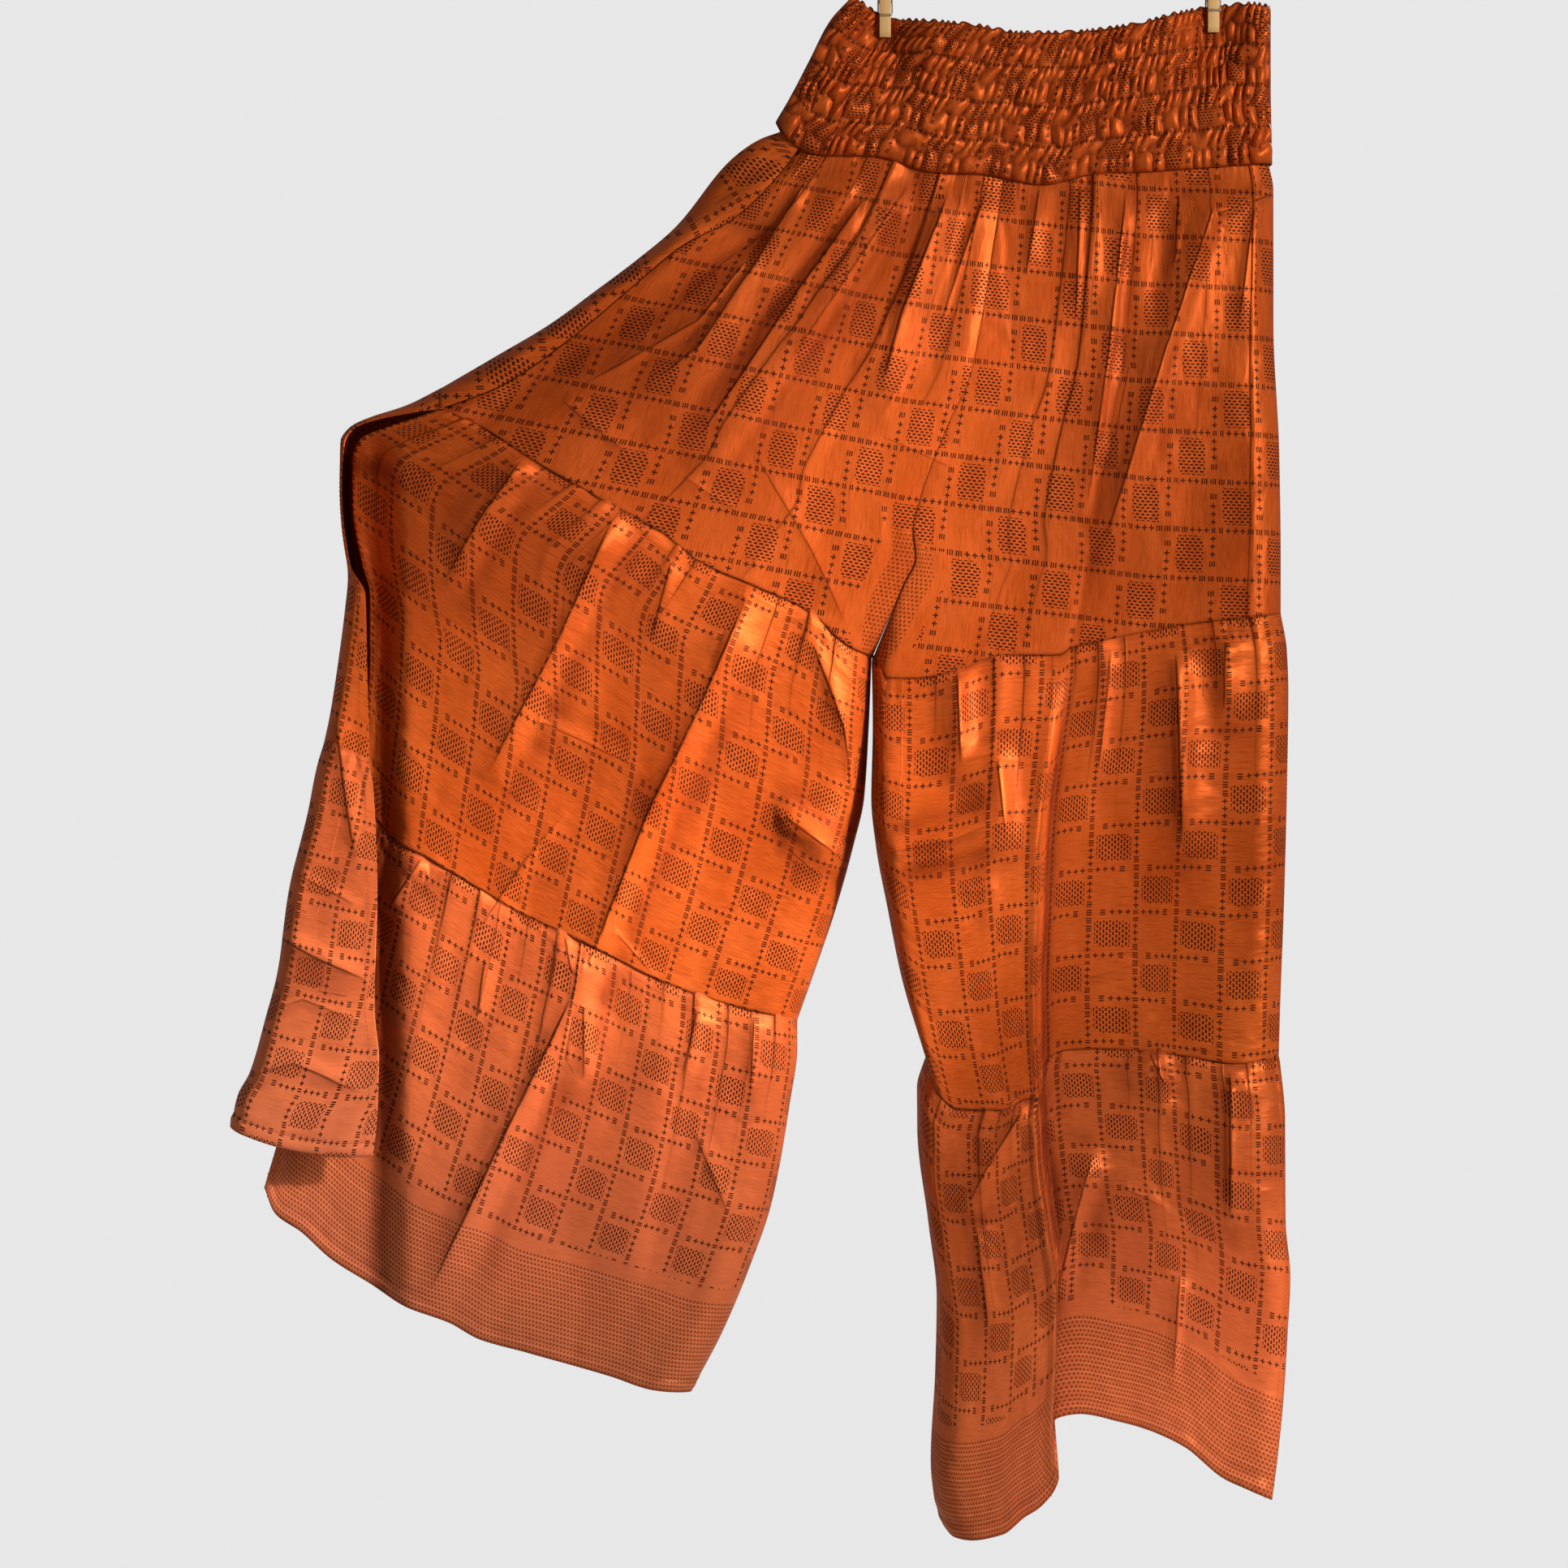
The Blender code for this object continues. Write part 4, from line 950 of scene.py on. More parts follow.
def free_edges(panel, net):
    """How far each point lies from the hem, the free left side and the free right side."""
    rows = reach(net, 0)
    columns = reach(net)
    far = np.full(rows.shape, FAR)
    from_hem = rows[-1:] - rows if panel.hemmed else far
    free_left = panel.name in FREE_LEFT or (panel.strip_edge and not panel.tucked)
    from_left = columns if free_left else far
    free_right = panel.keep_right in (slit_top, slit_foot)
    from_right = columns[:, -1:] - columns if free_right else far
    return from_hem, from_left, from_right


def side_length(panel, net):
    """How much longer the rows are than they look, where the cloth turns round its sides."""
    first = STRIP_COLUMNS if panel.strip_edge else 0
    part = net[:, first:]
    level = reach(part[..., ::2])
    near = np.minimum(level, level[:, -1:] - level) < SIDE_TURN
    extra = np.cumsum(np.diff(reach(part) - level, axis=1, prepend=0.0) * near, axis=1)
    extra = extra - extra[:, extra.shape[1] // 2][:, None]
    return np.pad(extra, ((0, 0), (first, 0)), mode="edge")


def print_place(panel, net, cut_u, cut_v):
    """Where each point lies on the printed cloth. On the hip the rows run nearly level."""
    extra = side_length(panel, net)
    if not panel.tucked:
        return (cut_u * FULLNESS[panel.tier] + extra) * LOWER_PRINT, (cut_v - PRINT_START) * LOWER_PRINT
    print_u = HIP_FAN * cut_u + (1.0 - HIP_FAN) * net[..., 0] + extra
    print_v = -net[..., 2] - np.interp(net[..., 0], *HIP_ROW_DRIFT)
    if panel.strip_edge:
        strip = slice(0, STRIP_COLUMNS)
        fold = slice(STRIP_COLUMNS, STRIP_COLUMNS + 1)
        print_u[:, strip] = print_u[:, fold] + cut_u[:, strip] - cut_u[:, fold]
        print_v[:, strip] = print_v[:, fold]
    return print_u, print_v


def blurred(field, cells):
    """A field evened out over a few cells each way."""
    for axis in (0, 1):
        pads = [(cells, cells) if side == axis else (0, 0) for side in (0, 1)]
        wide = np.pad(field, pads, mode="edge")
        count = field.shape[axis]
        parts = [wide.take(range(shift, shift + count), axis) for shift in range(2 * cells + 1)]
        field = sum(parts) / len(parts)
    return field


def painted_shade_marks(panel, relief, below, above):
    """Painted shade, as a mask: 1 in the hollows of a relief and 0 on its heights, with a thin painted shade
    along the seams.
    """
    painted_shade = np.clip((blurred(relief, HOLLOW_CELLS) - relief) / HOLLOW_DEPTH, 0.0, 1.0)
    foot = HEM_SHADE if panel.hemmed else SEAM_SHADE
    for (strength, width), away in ((SEAM_SHADE, below), (foot, above)):
        painted_shade = np.maximum(painted_shade, strength * np.exp(-away / width))
    return painted_shade


def border_distance(panel, from_hem, from_left, from_right, down):
    """How far each point lies from the line that the border of the print follows."""
    if panel.side == BACK:
        return np.full(from_hem.shape, FAR)
    if panel.hemmed:
        return from_hem
    if panel.tucked:
        to_centre = from_left if panel.keep_left is crotch else from_right
        above = 1.0 - smooth_step(CENTRE_BORDER_FROM - THIN_STEP, CENTRE_BORDER_FROM, down)
        return to_centre + FAR * above[:, None]
    return np.full(from_hem.shape, FAR)


def level_line(points, distance, wanted):
    """Where each row of points is a wanted distance away, as a line of points."""
    line = []
    for row, away in zip(points, distance):
        order = np.argsort(away)
        line.append([np.interp(wanted, away[order], row[order, axis]) for axis in range(3)])
    return np.array(line)


def placed(name, data):
    """A new object in the scene."""
    item = bpy.data.objects.new(name, data)
    bpy.context.scene.collection.objects.link(item)
    return item


def cloth_shell(name, net, normals, thickness, cut_u, cut_v, marks):
    """A closed thin shell round a net, with its cut coordinates in metres, its marks and its folds."""
    rows, columns = net.shape[:2]
    half = normals * thickness[..., None] / 2
    points = np.concatenate(((net + half).reshape(-1, 3), (net - half).reshape(-1, 3))) * MM
    count = rows * columns
    index = np.arange(count).reshape(rows, columns)
    quads = np.stack((index[:-1, :-1], index[:-1, 1:], index[1:, 1:], index[1:, :-1]), -1).reshape(-1, 4)
    rim = [
        np.stack((line[:-1], line[1:], line[1:] + count, line[:-1] + count), -1)
        for line in (index[0], index[-1], index[:, 0], index[:, -1])
    ]
    faces = np.concatenate((quads, quads[:, ::-1] + count, *rim))
    mesh = bpy.data.meshes.new(name)
    mesh.from_pydata(points.tolist(), [], faces.tolist())
    tool = bmesh.new()
    tool.from_mesh(mesh)
    bmesh.ops.recalc_face_normals(tool, faces=tool.faces)
    tool.to_mesh(mesh)
    tool.free()
    mesh.shade_smooth()
    coords = np.tile(np.stack((cut_u, cut_v), -1).reshape(-1, 2), (2, 1)) * MM
    corner = np.zeros(len(mesh.loops), np.int32)
    mesh.loops.foreach_get("vertex_index", corner)
    layer = mesh.uv_layers.new(name="cut")
    layer.data.foreach_set("uv", coords[corner].astype(np.float32).ravel())
    # The marks and folds carry the painted shade and the painted hem light for the material
    for label, fields in (("marks", marks[0]), ("folds", marks[1])):
        attribute = mesh.attributes.new(label, "FLOAT_VECTOR", "POINT")
        three = np.stack(fields, -1).reshape(-1, 3)
        attribute.data.foreach_set("vector", np.tile(three, (2, 1)).astype(np.float32).ravel())
    attribute = mesh.attributes.new("pleat", "FLOAT", "POINT")
    attribute.data.foreach_set("value", np.tile(marks[2].ravel(), 2).astype(np.float32))
    return placed(name, mesh)


def side_area(net):
    """Area of a net in square millimetres."""
    first = net[1:, :-1] - net[:-1, :-1]
    second = net[:-1, 1:] - net[:-1, :-1]
    return np.linalg.norm(np.cross(first, second), axis=2).sum()


def finish_cloth(item, node, material, net):
    """Gives a cloth piece its material, puts it in place of its solid and works out the area of its net."""
    item.data.materials.append(material)
    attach(item, BODY)
    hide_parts(node)
    area = side_area(net) * MM * MM


def pleat_sizes(panel):
    """Pitch, reach and height of a piece's pleats in millimetres, and how marked they are."""
    cloth = bpy.context.scene.pants_cloth
    sizes = (cloth.gather_pitch / MM, cloth.gather_reach / MM, cloth.gather_height / MM, 1.0)
    return [size * share for size, share in zip(sizes, HIP_PLEATS if panel.tucked else PLAIN_PLEATS)]


def puckers(panel, cut_u, below, above):
    """Height of the small puckers along a piece's seams."""
    sway = PUCKER_SWAY[0] * np.sin(cut_u * PUCKER_SWAY[1])
    height = PUCKER_HEIGHT * np.sin(math.tau * cut_u / PUCKER_PITCH + sway)
    height = height * (PUCKER_UNEVEN[0] + PUCKER_UNEVEN[1] * np.sin(cut_u * PUCKER_UNEVEN[2] + panel.seed))
    top, foot = (
        np.exp(-away / PUCKER_REACH) * smooth_step(0.0, PUCKER_START, away) for away in (below, above)
    )
    return height * (top + (not panel.hemmed) * PUCKER_FOOT * foot)


def hem_rise(above):
    """A turned-up hem stands out, with a groove where it is stitched."""
    bulge = HEM_BULGE * np.exp(-(((above - HEM_DEPTH / 2) / HEM_BULGE_WIDTH) ** 2))
    return bulge - HEM_GROOVE * np.exp(-np.abs(above - STITCH_LINE) / HEM_GROOVE_WIDTH)


def doubled(from_hem, from_left, from_right):
    """1 where the cloth lies double, along the hem and the free sides."""
    edges = ((HEM_DEPTH, from_hem), (EDGE_HEM, np.minimum(from_left, from_right)))
    return np.maximum(*(1.0 - smooth_step(depth - HEM_EDGE, depth + HEM_EDGE, away) for depth, away in edges))


def line_marks(panel, net, across, down, width):
    """Where creases and the lap get their painted shade lines and bump steps on a piece, and how strongly."""
    x = net[..., 0]
    z = net[..., 2]
    strip = np.arange(x.shape[1]) < (STRIP_COLUMNS if panel.strip_edge else 0)
    lit, strength = crease_marks(FRONT_CREASES if panel.side == FRONT else BACK_CREASES, x, z)
    if panel.strip_edge:
        wrapped = crease_marks(STRIP_CREASES, x, z)
        lit = np.where(strip, wrapped[0], lit)
        strength = np.where(strip, wrapped[1], strength)
    if panel.lap_from is not None:
        from_lap = (LAP_STITCH_SHARE + LAP_EDGE - across)[None, :] * width
        away = np.abs(from_lap)
        lap = LAP_MARK * smooth_step(0.0, LAP_START, panel.lap_from + down)[:, None]
        lap = lap * (1.0 - smooth_step(LAP_MARK_FADE * LAP_MARK_REACH, LAP_MARK_REACH, away))
        strength = strength * smooth_step(LAP_MARK_REACH, LAP_CLEAR * LAP_MARK_REACH, away)
        lit = np.where(away < LAP_MARK_REACH, from_lap, lit)
        strength = np.where(away < LAP_MARK_REACH, lap, strength)
    if panel.side == BACK:
        lit = lit * np.where(strip, 1.0, -1.0)
    return lit, strength


def stitch_lines(panel, outer, edges, across):
    """Lines on the outside of a piece along its hem, its free sides and its lap."""
    from_hem, *from_sides = edges
    lines = []
    if panel.hemmed:
        lines.append(level_line(outer.swapaxes(0, 1), from_hem.T, STITCH_LINE))
    for away in from_sides:
        if away.min() < FAR:
            lines.append(level_line(outer, away, EDGE_STITCH_LINE))
    if panel.lap_from is not None:
        lines.append(outer[:, np.searchsorted(across, LAP_STITCH_SHARE)])
    return lines


def make_panel(panel):
    """One cut piece of a tier, as a fine shell, and the stitches along its hem and free sides."""
    across = crowded(COLUMNS)
    down = crowded(ROWS)
    build = wrapped_net if panel.strip_edge else plain_net
    net, first, last, cut_u, cut_v, relief = build(panel, across, down)
    sign = 1.0 if panel.strip_edge else panel.side
    normals = outward(net, sign, first, last)
    below = reach(net, 0)
    above = below[-1:] - below
    sides = reach(net)
    width = sides[:, -1:]
    ends = smooth_step(0.0, GATHER_CLEAR, np.minimum(sides, width - sides))
    pitch, length, pleat_height, pleat_mark = pleat_sizes(panel)
    height, fade, share, phase = gather_profile(cut_u, below, panel.seed, pitch, length)
    rise = height * fade * pleat_height + puckers(panel, cut_u, below, above)
    if panel.hemmed:
        rise = rise + hem_rise(above)
    rise = rise * ends
    net = net + normals * rise[..., None]
    normals = outward(net, sign, first, last)
    print_u, print_v = print_place(panel, net, cut_u, cut_v)
    print_u = pleated_cut(print_u, cut_u, net, share, fade * ends, pitch)
    if not panel.tucked:
        print_u, print_v = print_v, print_u
    edges = free_edges(panel, net)
    thickness = bpy.context.scene.pants_cloth.thickness / MM * (1.0 + HEM_DOUBLING * doubled(*edges))
    border = border_distance(panel, edges[0], sides, width - sides, down)
    # Painted shade in the hollows of the folds and along the seams and the hem
    painted_shade = painted_shade_marks(panel, relief + rise, below, above)
    # Painted light: the lowest tier is painted paler towards its hem, less so on the right leg
    pale = np.exp(-above / LIT_HEM_REACH) * panel.hemmed * (1.0 if panel.name.endswith("left") else LIT_HEM_RIGHT)
    folds = (*line_marks(panel, net, across, down, width), phase)
    marks = ((border, painted_shade, pale), folds, fade * ends * pleat_mark)
    item = cloth_shell(f"cloth_{panel.name}", net, normals, thickness, print_u, print_v, marks)
    finish_cloth(item, panel.name, cloth_for(not panel.tucked), net)
    lines = stitch_lines(panel, net + normals * thickness[..., None] / 2, edges, across)
    if lines:
        make_stitches(f"stitches_{panel.name}", lines)


def smocking(cut_u, down, side):
    """The waist's channel at each point, the place in it, and the pitch, phase and height of its puffs."""
    cloth = bpy.context.scene.pants_cloth
    channel = down[:, None] * CHANNELS
    middle = smooth_step(0.0, ROW_RUN, channel) * smooth_step(0.0, ROW_RUN, CHANNELS - channel)
    channel = channel + sum(waves(ROW_SWAY, cut_u, turn=side)) * middle
    number = np.minimum(np.floor(channel), CHANNELS - 1)
    in_channel = channel - number
    low = smooth_step(*LOW_CHANNELS, channel)
    pitch = cloth.smock_pitch / MM * cloth.smock_fullness
    pitch = pitch * (1.0 + LOW_PITCH * smooth_step(*LOW_CHANNELS, number))
    shift = (PUFF_SHIFT[0] + PUFF_SHIFT[1] * low) * sum(waves(PUFF_SHIFT_WAVES, cut_u, number, side))
    uneven = sum(waves(PUFF_UNEVEN, cut_u, number, side))
    twist = PUFF_TWIST * (1.0 - 2.0 * (number % 2)) * (1.0 + low) * (in_channel - 0.5)
    phase = cut_u / pitch + PUFF_SLANT * channel + shift + uneven + twist
    pleat = np.abs(np.cos(math.pi * phase)) ** PUFF_ROUND
    dome = PUFF_DOME[0] + (1.0 - PUFF_DOME[0]) * np.sin(math.pi * in_channel) ** PUFF_DOME[1]
    size = PUFF_SIZE[0] + PUFF_SIZE[1] * math.prod(waves(PUFF_SIZE_WAVES, cut_u, number))
    swell = dome * (PUFF_FLOOR + (1.0 - PUFF_FLOOR) * pleat)
    return channel, in_channel, pitch, phase, cloth.smock_height / MM * size * swell


def make_waist(side):
    """One half of the smocked waist, with puffs between its rows of elastic."""
    node = f"waistband_{FACES[side]}"
    cloth = bpy.context.scene.pants_cloth
    across = crowded(WAIST_COLUMNS, WAIST_CROWDING)
    down = np.linspace(0.0, 1.0, WAIST_ROWS + 1)
    panel = Panel(node, side, WAIST_TOP, WAIST_BOTTOM, WAIST_LEFT, WAIST_RIGHT)
    flat = between_outlines(panel, across, down)
    height = reach(flat, 0)[-1].mean()
    from_left = reach(flat)
    from_right = from_left[:, -1:] - from_left
    cut_u = across[None, :] * from_left[0, -1] * cloth.smock_fullness + 0 * from_left
    channel, in_channel, pitch, phase, puff = smocking(cut_u, down, side)
    x = flat[..., 0]
    z = flat[..., 1]
    held = 1.0 - smooth_step(GRIP_HALF_WIDTH - GRIP_EASE, GRIP_HALF_WIDTH, from_pegs(x))
    held = held * smooth_step(*GRIP_HEIGHTS, z)
    ends = smooth_step(0.0, PUFF_CLEAR, np.minimum(from_left, from_right))
    puff = puff * ends * (1 - (1 - PINCH_PUFF) * held)
    ruffle = (1.0 - smooth_step(0.0, RUFFLE_END, channel)) * (1 - held)
    share = turned(from_left, WAIST_TURN, 0.0) * turned(from_right, WAIST_TURN, 0.0)
    depth = hang_depth(x, z) + ruffle * RUFFLE_DEPTH * np.cos(math.tau * phase + RUFFLE_LAG)
    depth = depth - WAIST_SEAM_SINK * (1.0 - smooth_step(0.0, WAIST_SEAM_RUN, CHANNELS - channel))
    z = z + ruffle * RUFFLE_HEIGHT * np.sin(math.tau * phase)
    x[:, 0] += SOLID_WALL / 2
    x[:, -1] -= SOLID_WALL / 2
    net = np.stack((x, side * (depth * share + WAIST_CLEAR), z), axis=-1)
    last = np.zeros((len(down), 3))
    last[:, 0] = 1.0
    normals = outward(net, side, -last, last)
    net = net + normals * (puff / 2)[..., None]
    print_u = cut_u - WAIST_PRINT_SQUEEZE * pitch * np.sin(math.tau * phase) / math.tau
    print_v = (down[:, None] * height + 0 * from_left) * WAIST_PRINT_LENGTH
    # Painted shade: darker in the valleys between the puffs and along the rows of elastic
    deep = 1.0 - np.clip(puff / (WAIST_HOLLOW_SHARE * cloth.smock_height / MM), 0.0, 1.0)
    from_row = np.minimum(in_channel, 1.0 - in_channel) * height / CHANNELS
    deep = np.maximum(deep, ROW_SHADE[0] * np.exp(-from_row / ROW_SHADE[1]) * (channel > FIRST_ROW))
    far = np.full(puff.shape, FAR)
    none = np.zeros(puff.shape)
    marks = ((far, deep, none), (far, none, none), none)
    thickness = cloth.thickness / MM + puff
    item = cloth_shell(f"cloth_{node}", net, normals, thickness, print_u, print_v, marks)
    finish_cloth(item, node, cloth_for(False), net)


class Number:
    """A number in a shader tree. Sums and products of it add the nodes that work them out."""

    def __init__(self, looks, socket):
        self.looks = looks
        self.socket = socket

    def __add__(self, other):
        return self.looks.maths("ADD", self, other)

    def __sub__(self, other):
        return self.looks.maths("SUBTRACT", self, other)

    def __rsub__(self, other):
        return self.looks.maths("SUBTRACT", other, self)

    def __mul__(self, other):
        return self.looks.maths("MULTIPLY", self, other)

    def __truediv__(self, other):
        return self.looks.maths("DIVIDE", self, other)

    def __mod__(self, other):
        return self.looks.maths("FLOORED_MODULO", self, other)

    def __abs__(self):
        return self.looks.maths("ABSOLUTE", self)

    def __and__(self, other):
        return self.looks.maths("MINIMUM", self, other)

    def __or__(self, other):
        return self.looks.maths("MAXIMUM", self, other)

    __radd__ = __add__
    __rmul__ = __mul__


class Looks:
    """One material and the nodes that make it."""

    def __init__(self, name):
        self.material = bpy.data.materials.new(name)
        self.material.use_nodes = True
        self.tree = self.material.node_tree
        self.shader = self.tree.nodes["Principled BSDF"]

    def node(self, kind, settings=None, inputs=None, output=0):
        """Adds a node, sets it, then fills its sockets with values or links."""
        made = self.tree.nodes.new(kind)
        for key, value in (settings or {}).items():
            setattr(made, key, value)
        for key, value in (inputs or {}).items():
            self.put(made.inputs[key], value)
        return Number(self, made.outputs[output])

    def surface(self, values):
        """Fills the shader's own sockets with values or links."""
        for key, value in values.items():
            self.put(self.shader.inputs[key], value)

    def put(self, socket, value):
        if isinstance(value, Number):
            self.tree.links.new(value.socket, socket)
        else:
            socket.default_value = value

    def maths(self, operation, *values):
        return self.node("ShaderNodeMath", {"operation": operation}, dict(enumerate(values)))

    def parts(self, vector):
        """The three numbers of a vector."""
        split = self.tree.nodes.new("ShaderNodeSeparateXYZ")
        self.tree.links.new(vector.socket, split.inputs[0])
        return [Number(self, socket) for socket in split.outputs]

    def noise(self, vector, scale, detail=2.0, roughness=0.5, output=0):
        """Noise that is scaled in each direction. Its output 1 has a value of its own for each."""
        return self.node(
            "ShaderNodeTexNoise", {"noise_dimensions": "3D"},
            {"Vector": self.stretched(vector, scale), "Scale": 1.0, "Detail": detail, "Roughness": roughness},
            output,
        )

    def rise(self, value, low, high):
        """A soft rise from 0 to 1 as a value goes from low to high."""
        return self.node(
            "ShaderNodeMapRange", {"interpolation_type": "SMOOTHSTEP"},
            {"Value": value, "From Min": low, "From Max": high, "To Min": 0.0, "To Max": 1.0},
        )

    def stretched(self, vector, scale):
        """A vector with each of its parts scaled."""
        return self.node("ShaderNodeMapping", {"vector_type": "POINT"}, {"Vector": vector, "Scale": scale})

    def mixed(self, factor, first, second):
        """A colour between two others."""
        return self.node(
            "ShaderNodeMix", {"data_type": "RGBA", "clamp_factor": True},
            {0: factor, 6: first, 7: second}, 2,
        )

    def bump(self, height, strength, distance, normal=None):
        """A bump, on top of another one where that one's normal is given."""
        inputs = {"Strength": strength, "Distance": distance, "Height": height}
        if normal:
            inputs["Normal"] = normal
        return self.node("ShaderNodeBump", {}, inputs)

    def inside(self, distance, half_width, soft):
        """1 within half a width of a line, 0 outside it, with a soft edge."""
        return self.node(
            "ShaderNodeMath", {"operation": "MULTIPLY_ADD", "use_clamp": True},
            {0: distance, 1: -1.0 / soft, 2: half_width / soft + 0.5},
        )

    def wrapped(self, value, pitch):
        """Distance to the nearest of lines that lie a pitch apart, one of them at 0."""
        return abs((value + pitch / 2) % pitch - pitch / 2)

    def whole(self, value):
        return self.maths("FLOOR", value)

    def between(self, value, low, high):
        """1 where a whole number lies from low to high."""
        return self.inside(abs(value - (low + high) / 2), (high - low) / 2 + 0.5, SHARP)


# The chart of the print, in millimetres. Twelve signs stand along each rule of the check
SIGNS = 12.0
SIGN_PITCH = 65.0 / SIGNS
TRIPLE_PITCH = 6.1
TRIPLES_FROM = 2.5 * SIGN_PITCH
TRIPLES_HALF = 2 * TRIPLE_PITCH
PLUS_PITCH = 5.06
PLUS_COUNT = 3
PLUS_TURNS = ((0, 2), (4, 6))
PLUS_REACH = 1.85
STROKE = 0.47
STROKE_REACH = 1.8
STROKE_PITCH = 1.6
TRIPLE_HALF = 1.5 * STROKE_PITCH
GROUP_MIDDLE = 1.5
GROUP_SPREAD = 1.82
DASH_ROW = 2.2
DASH_PITCH = 3.9
DASH_HALF = (1.42, 0.62)
DASH_POINT = 0.7
BLOCK_HALF = (9.9, 12.2)
BLOCK_SLANT = (0.9, 0.45)
BLOCK_CORNER = 12.0
BORDER_PITCH = (3.1, 2.9)
BORDER_MARK = 1.2
BORDER_SOFT = 0.3
PALE_LINE = 0.2
SOFT = 0.34
SHARP = 0.01

# Noise along the cloth. Columns: scale, detail, roughness
CREASE_WAVES = ((50.0, 40.0, 1.0), 1.0)
PATCHES = ((26.0, 14.0, 1.0), 1.0)
PRINT_WAVES = (((160.0, 160.0, 1.0), 2.0), ((170.0, 150.0, 3.0), 2.0))
WEAR = ((900.0, 900.0, 1.0), 2.0)
SLUBS = ((1500.0, 48.0, 1.0), 2.0)
THREADS = ((2600.0, 90.0, 1.0), 3.0, 0.6)
CROSS_THREADS = ((160.0, 2400.0, 1.0), 2.0, 0.5)
BROAD = ((7.0, 5.0, 1.0), 3.0, 0.55)
STREAKS = {True: ((10.0, 30.0, 1.0), 2.0, 0.5), False: ((30.0, 10.0, 1.0), 2.0, 0.5)}
CRINKLES = ((60.0, 22.0, 1.0), 3.0, 0.55)

# The painted shade of creases and pleats, as dark lines and shadows. Lines and shadows are in millimetres, or
# in shares of a pleat
CREASE_WAVE = 1.3
PLEAT_WAVE = 0.025
PATCH_RUN = (0.4, 0.6)
PATCH_LEAST = 0.3
CREASE_SHADE_LINE = (0.2, 1.5)
SHADOW_REACH = 11.0
SHADOW_SIDE = (-0.6, 0.6)
PLEAT_SHADE_LINE = (0.008, 0.05)
PLEAT_SHADOW = (0.66, 1.0)
PAINTED_SHADE_SHARES = (0.85, 0.8, 0.55, 0.6)
CREASE_STEP = (-0.9, 0.7)
LIT_REACH = 13.0
PLEAT_STEP = (0.0, 0.05)
PLEAT_STEP_SHARE = 0.8

# The cloth's tone, ink, painted light at the hems and surface
WOBBLE = 1.1
CROSS_INK = 0.6
WORN_INK = (0.78, 0.55)
PALE_SHARES = {True: 0.3, False: 0.1}
LIT_HEM_SHARE = 0.6
SLUB_RUN = (0.56, 0.7)
SLUB_TONE = 0.8
TONE = 0.55
TONE_SHARES = (1.9, 0.4, 1.3, 1.2)
ROUGH = (0.42, 0.25, 0.12, 0.1)
RELIEF = (0.6, 0.3, 0.2)
FACET_BEND = 0.035
FACET_NOISE = (14.0, 14.0, 1.0)
FACET_SCALE = (22.0, 13.0, 1.0)
FACET_EDGE = (0.0, 0.16)
FACET_SHARE = 0.3
FINE_BUMP = (0.35, 0.0002)
CRINKLE_BUMP = (0.5, 0.0028)
STEP_BUMP = (0.7, 0.0034)
SATIN = {
    "Sheen Weight": 0.05,
    "Sheen Roughness": 0.35,
    "Sheen Tint": (1.0, 0.45, 0.16, 1.0),
    "Metallic": 0.27,
    "Specular IOR Level": 0.24,
    "Specular Tint": (1.0, 0.5, 0.2, 1.0),
}

# Thread, wood, wire and floor. Roughness is its least and its range
THREAD_NOISE = ((2500.0, 2500.0, 2500.0), 2.0)
THREAD_DARK = 0.55
THREAD_ROUGH = (0.6, 0.25)
WOOD_GRAIN = ((900.0, 900.0, 45.0), 4.0, 0.6)
WOOD_RINGS = ((260.0, 260.0, 14.0), 2.0)
WOOD_SHARES = (0.6, 0.5)
WOOD_ROUGH = (0.5, 0.2)
WOOD_BUMP = (0.3, 0.0002)
WIRE_NOISE = ((1500.0, 300.0, 300.0), 2.0)
WIRE_DARK = 0.7
WIRE_ROUGH = (0.24, 0.25)
FLOOR_NOISE = ((2.0, 2.0, 2.0), 4.0)
FLOOR_TONES = ((0.74, 0.74, 0.74), (0.8, 0.8, 0.8))
FLOOR_ROUGH = (0.6, 0.2)
FLOOR_SIDES = 128


def box_mark(looks, x, y, half_x, half_y):
    """A small box as a mask, from the distances to its middle lines."""
    return looks.inside(x, half_x, SOFT) & looks.inside(y, half_y, SOFT)


def cross_mark(looks, x, y):
    return box_mark(looks, x, y, STROKE, PLUS_REACH) | box_mark(looks, x, y, PLUS_REACH, STROKE)


def triple_mark(looks, off):
    """Three strokes side by side."""
    group = looks.inside(abs(off), TRIPLE_HALF, SOFT)
    return looks.inside(looks.wrapped(off, STROKE_PITCH), STROKE, SOFT) & group


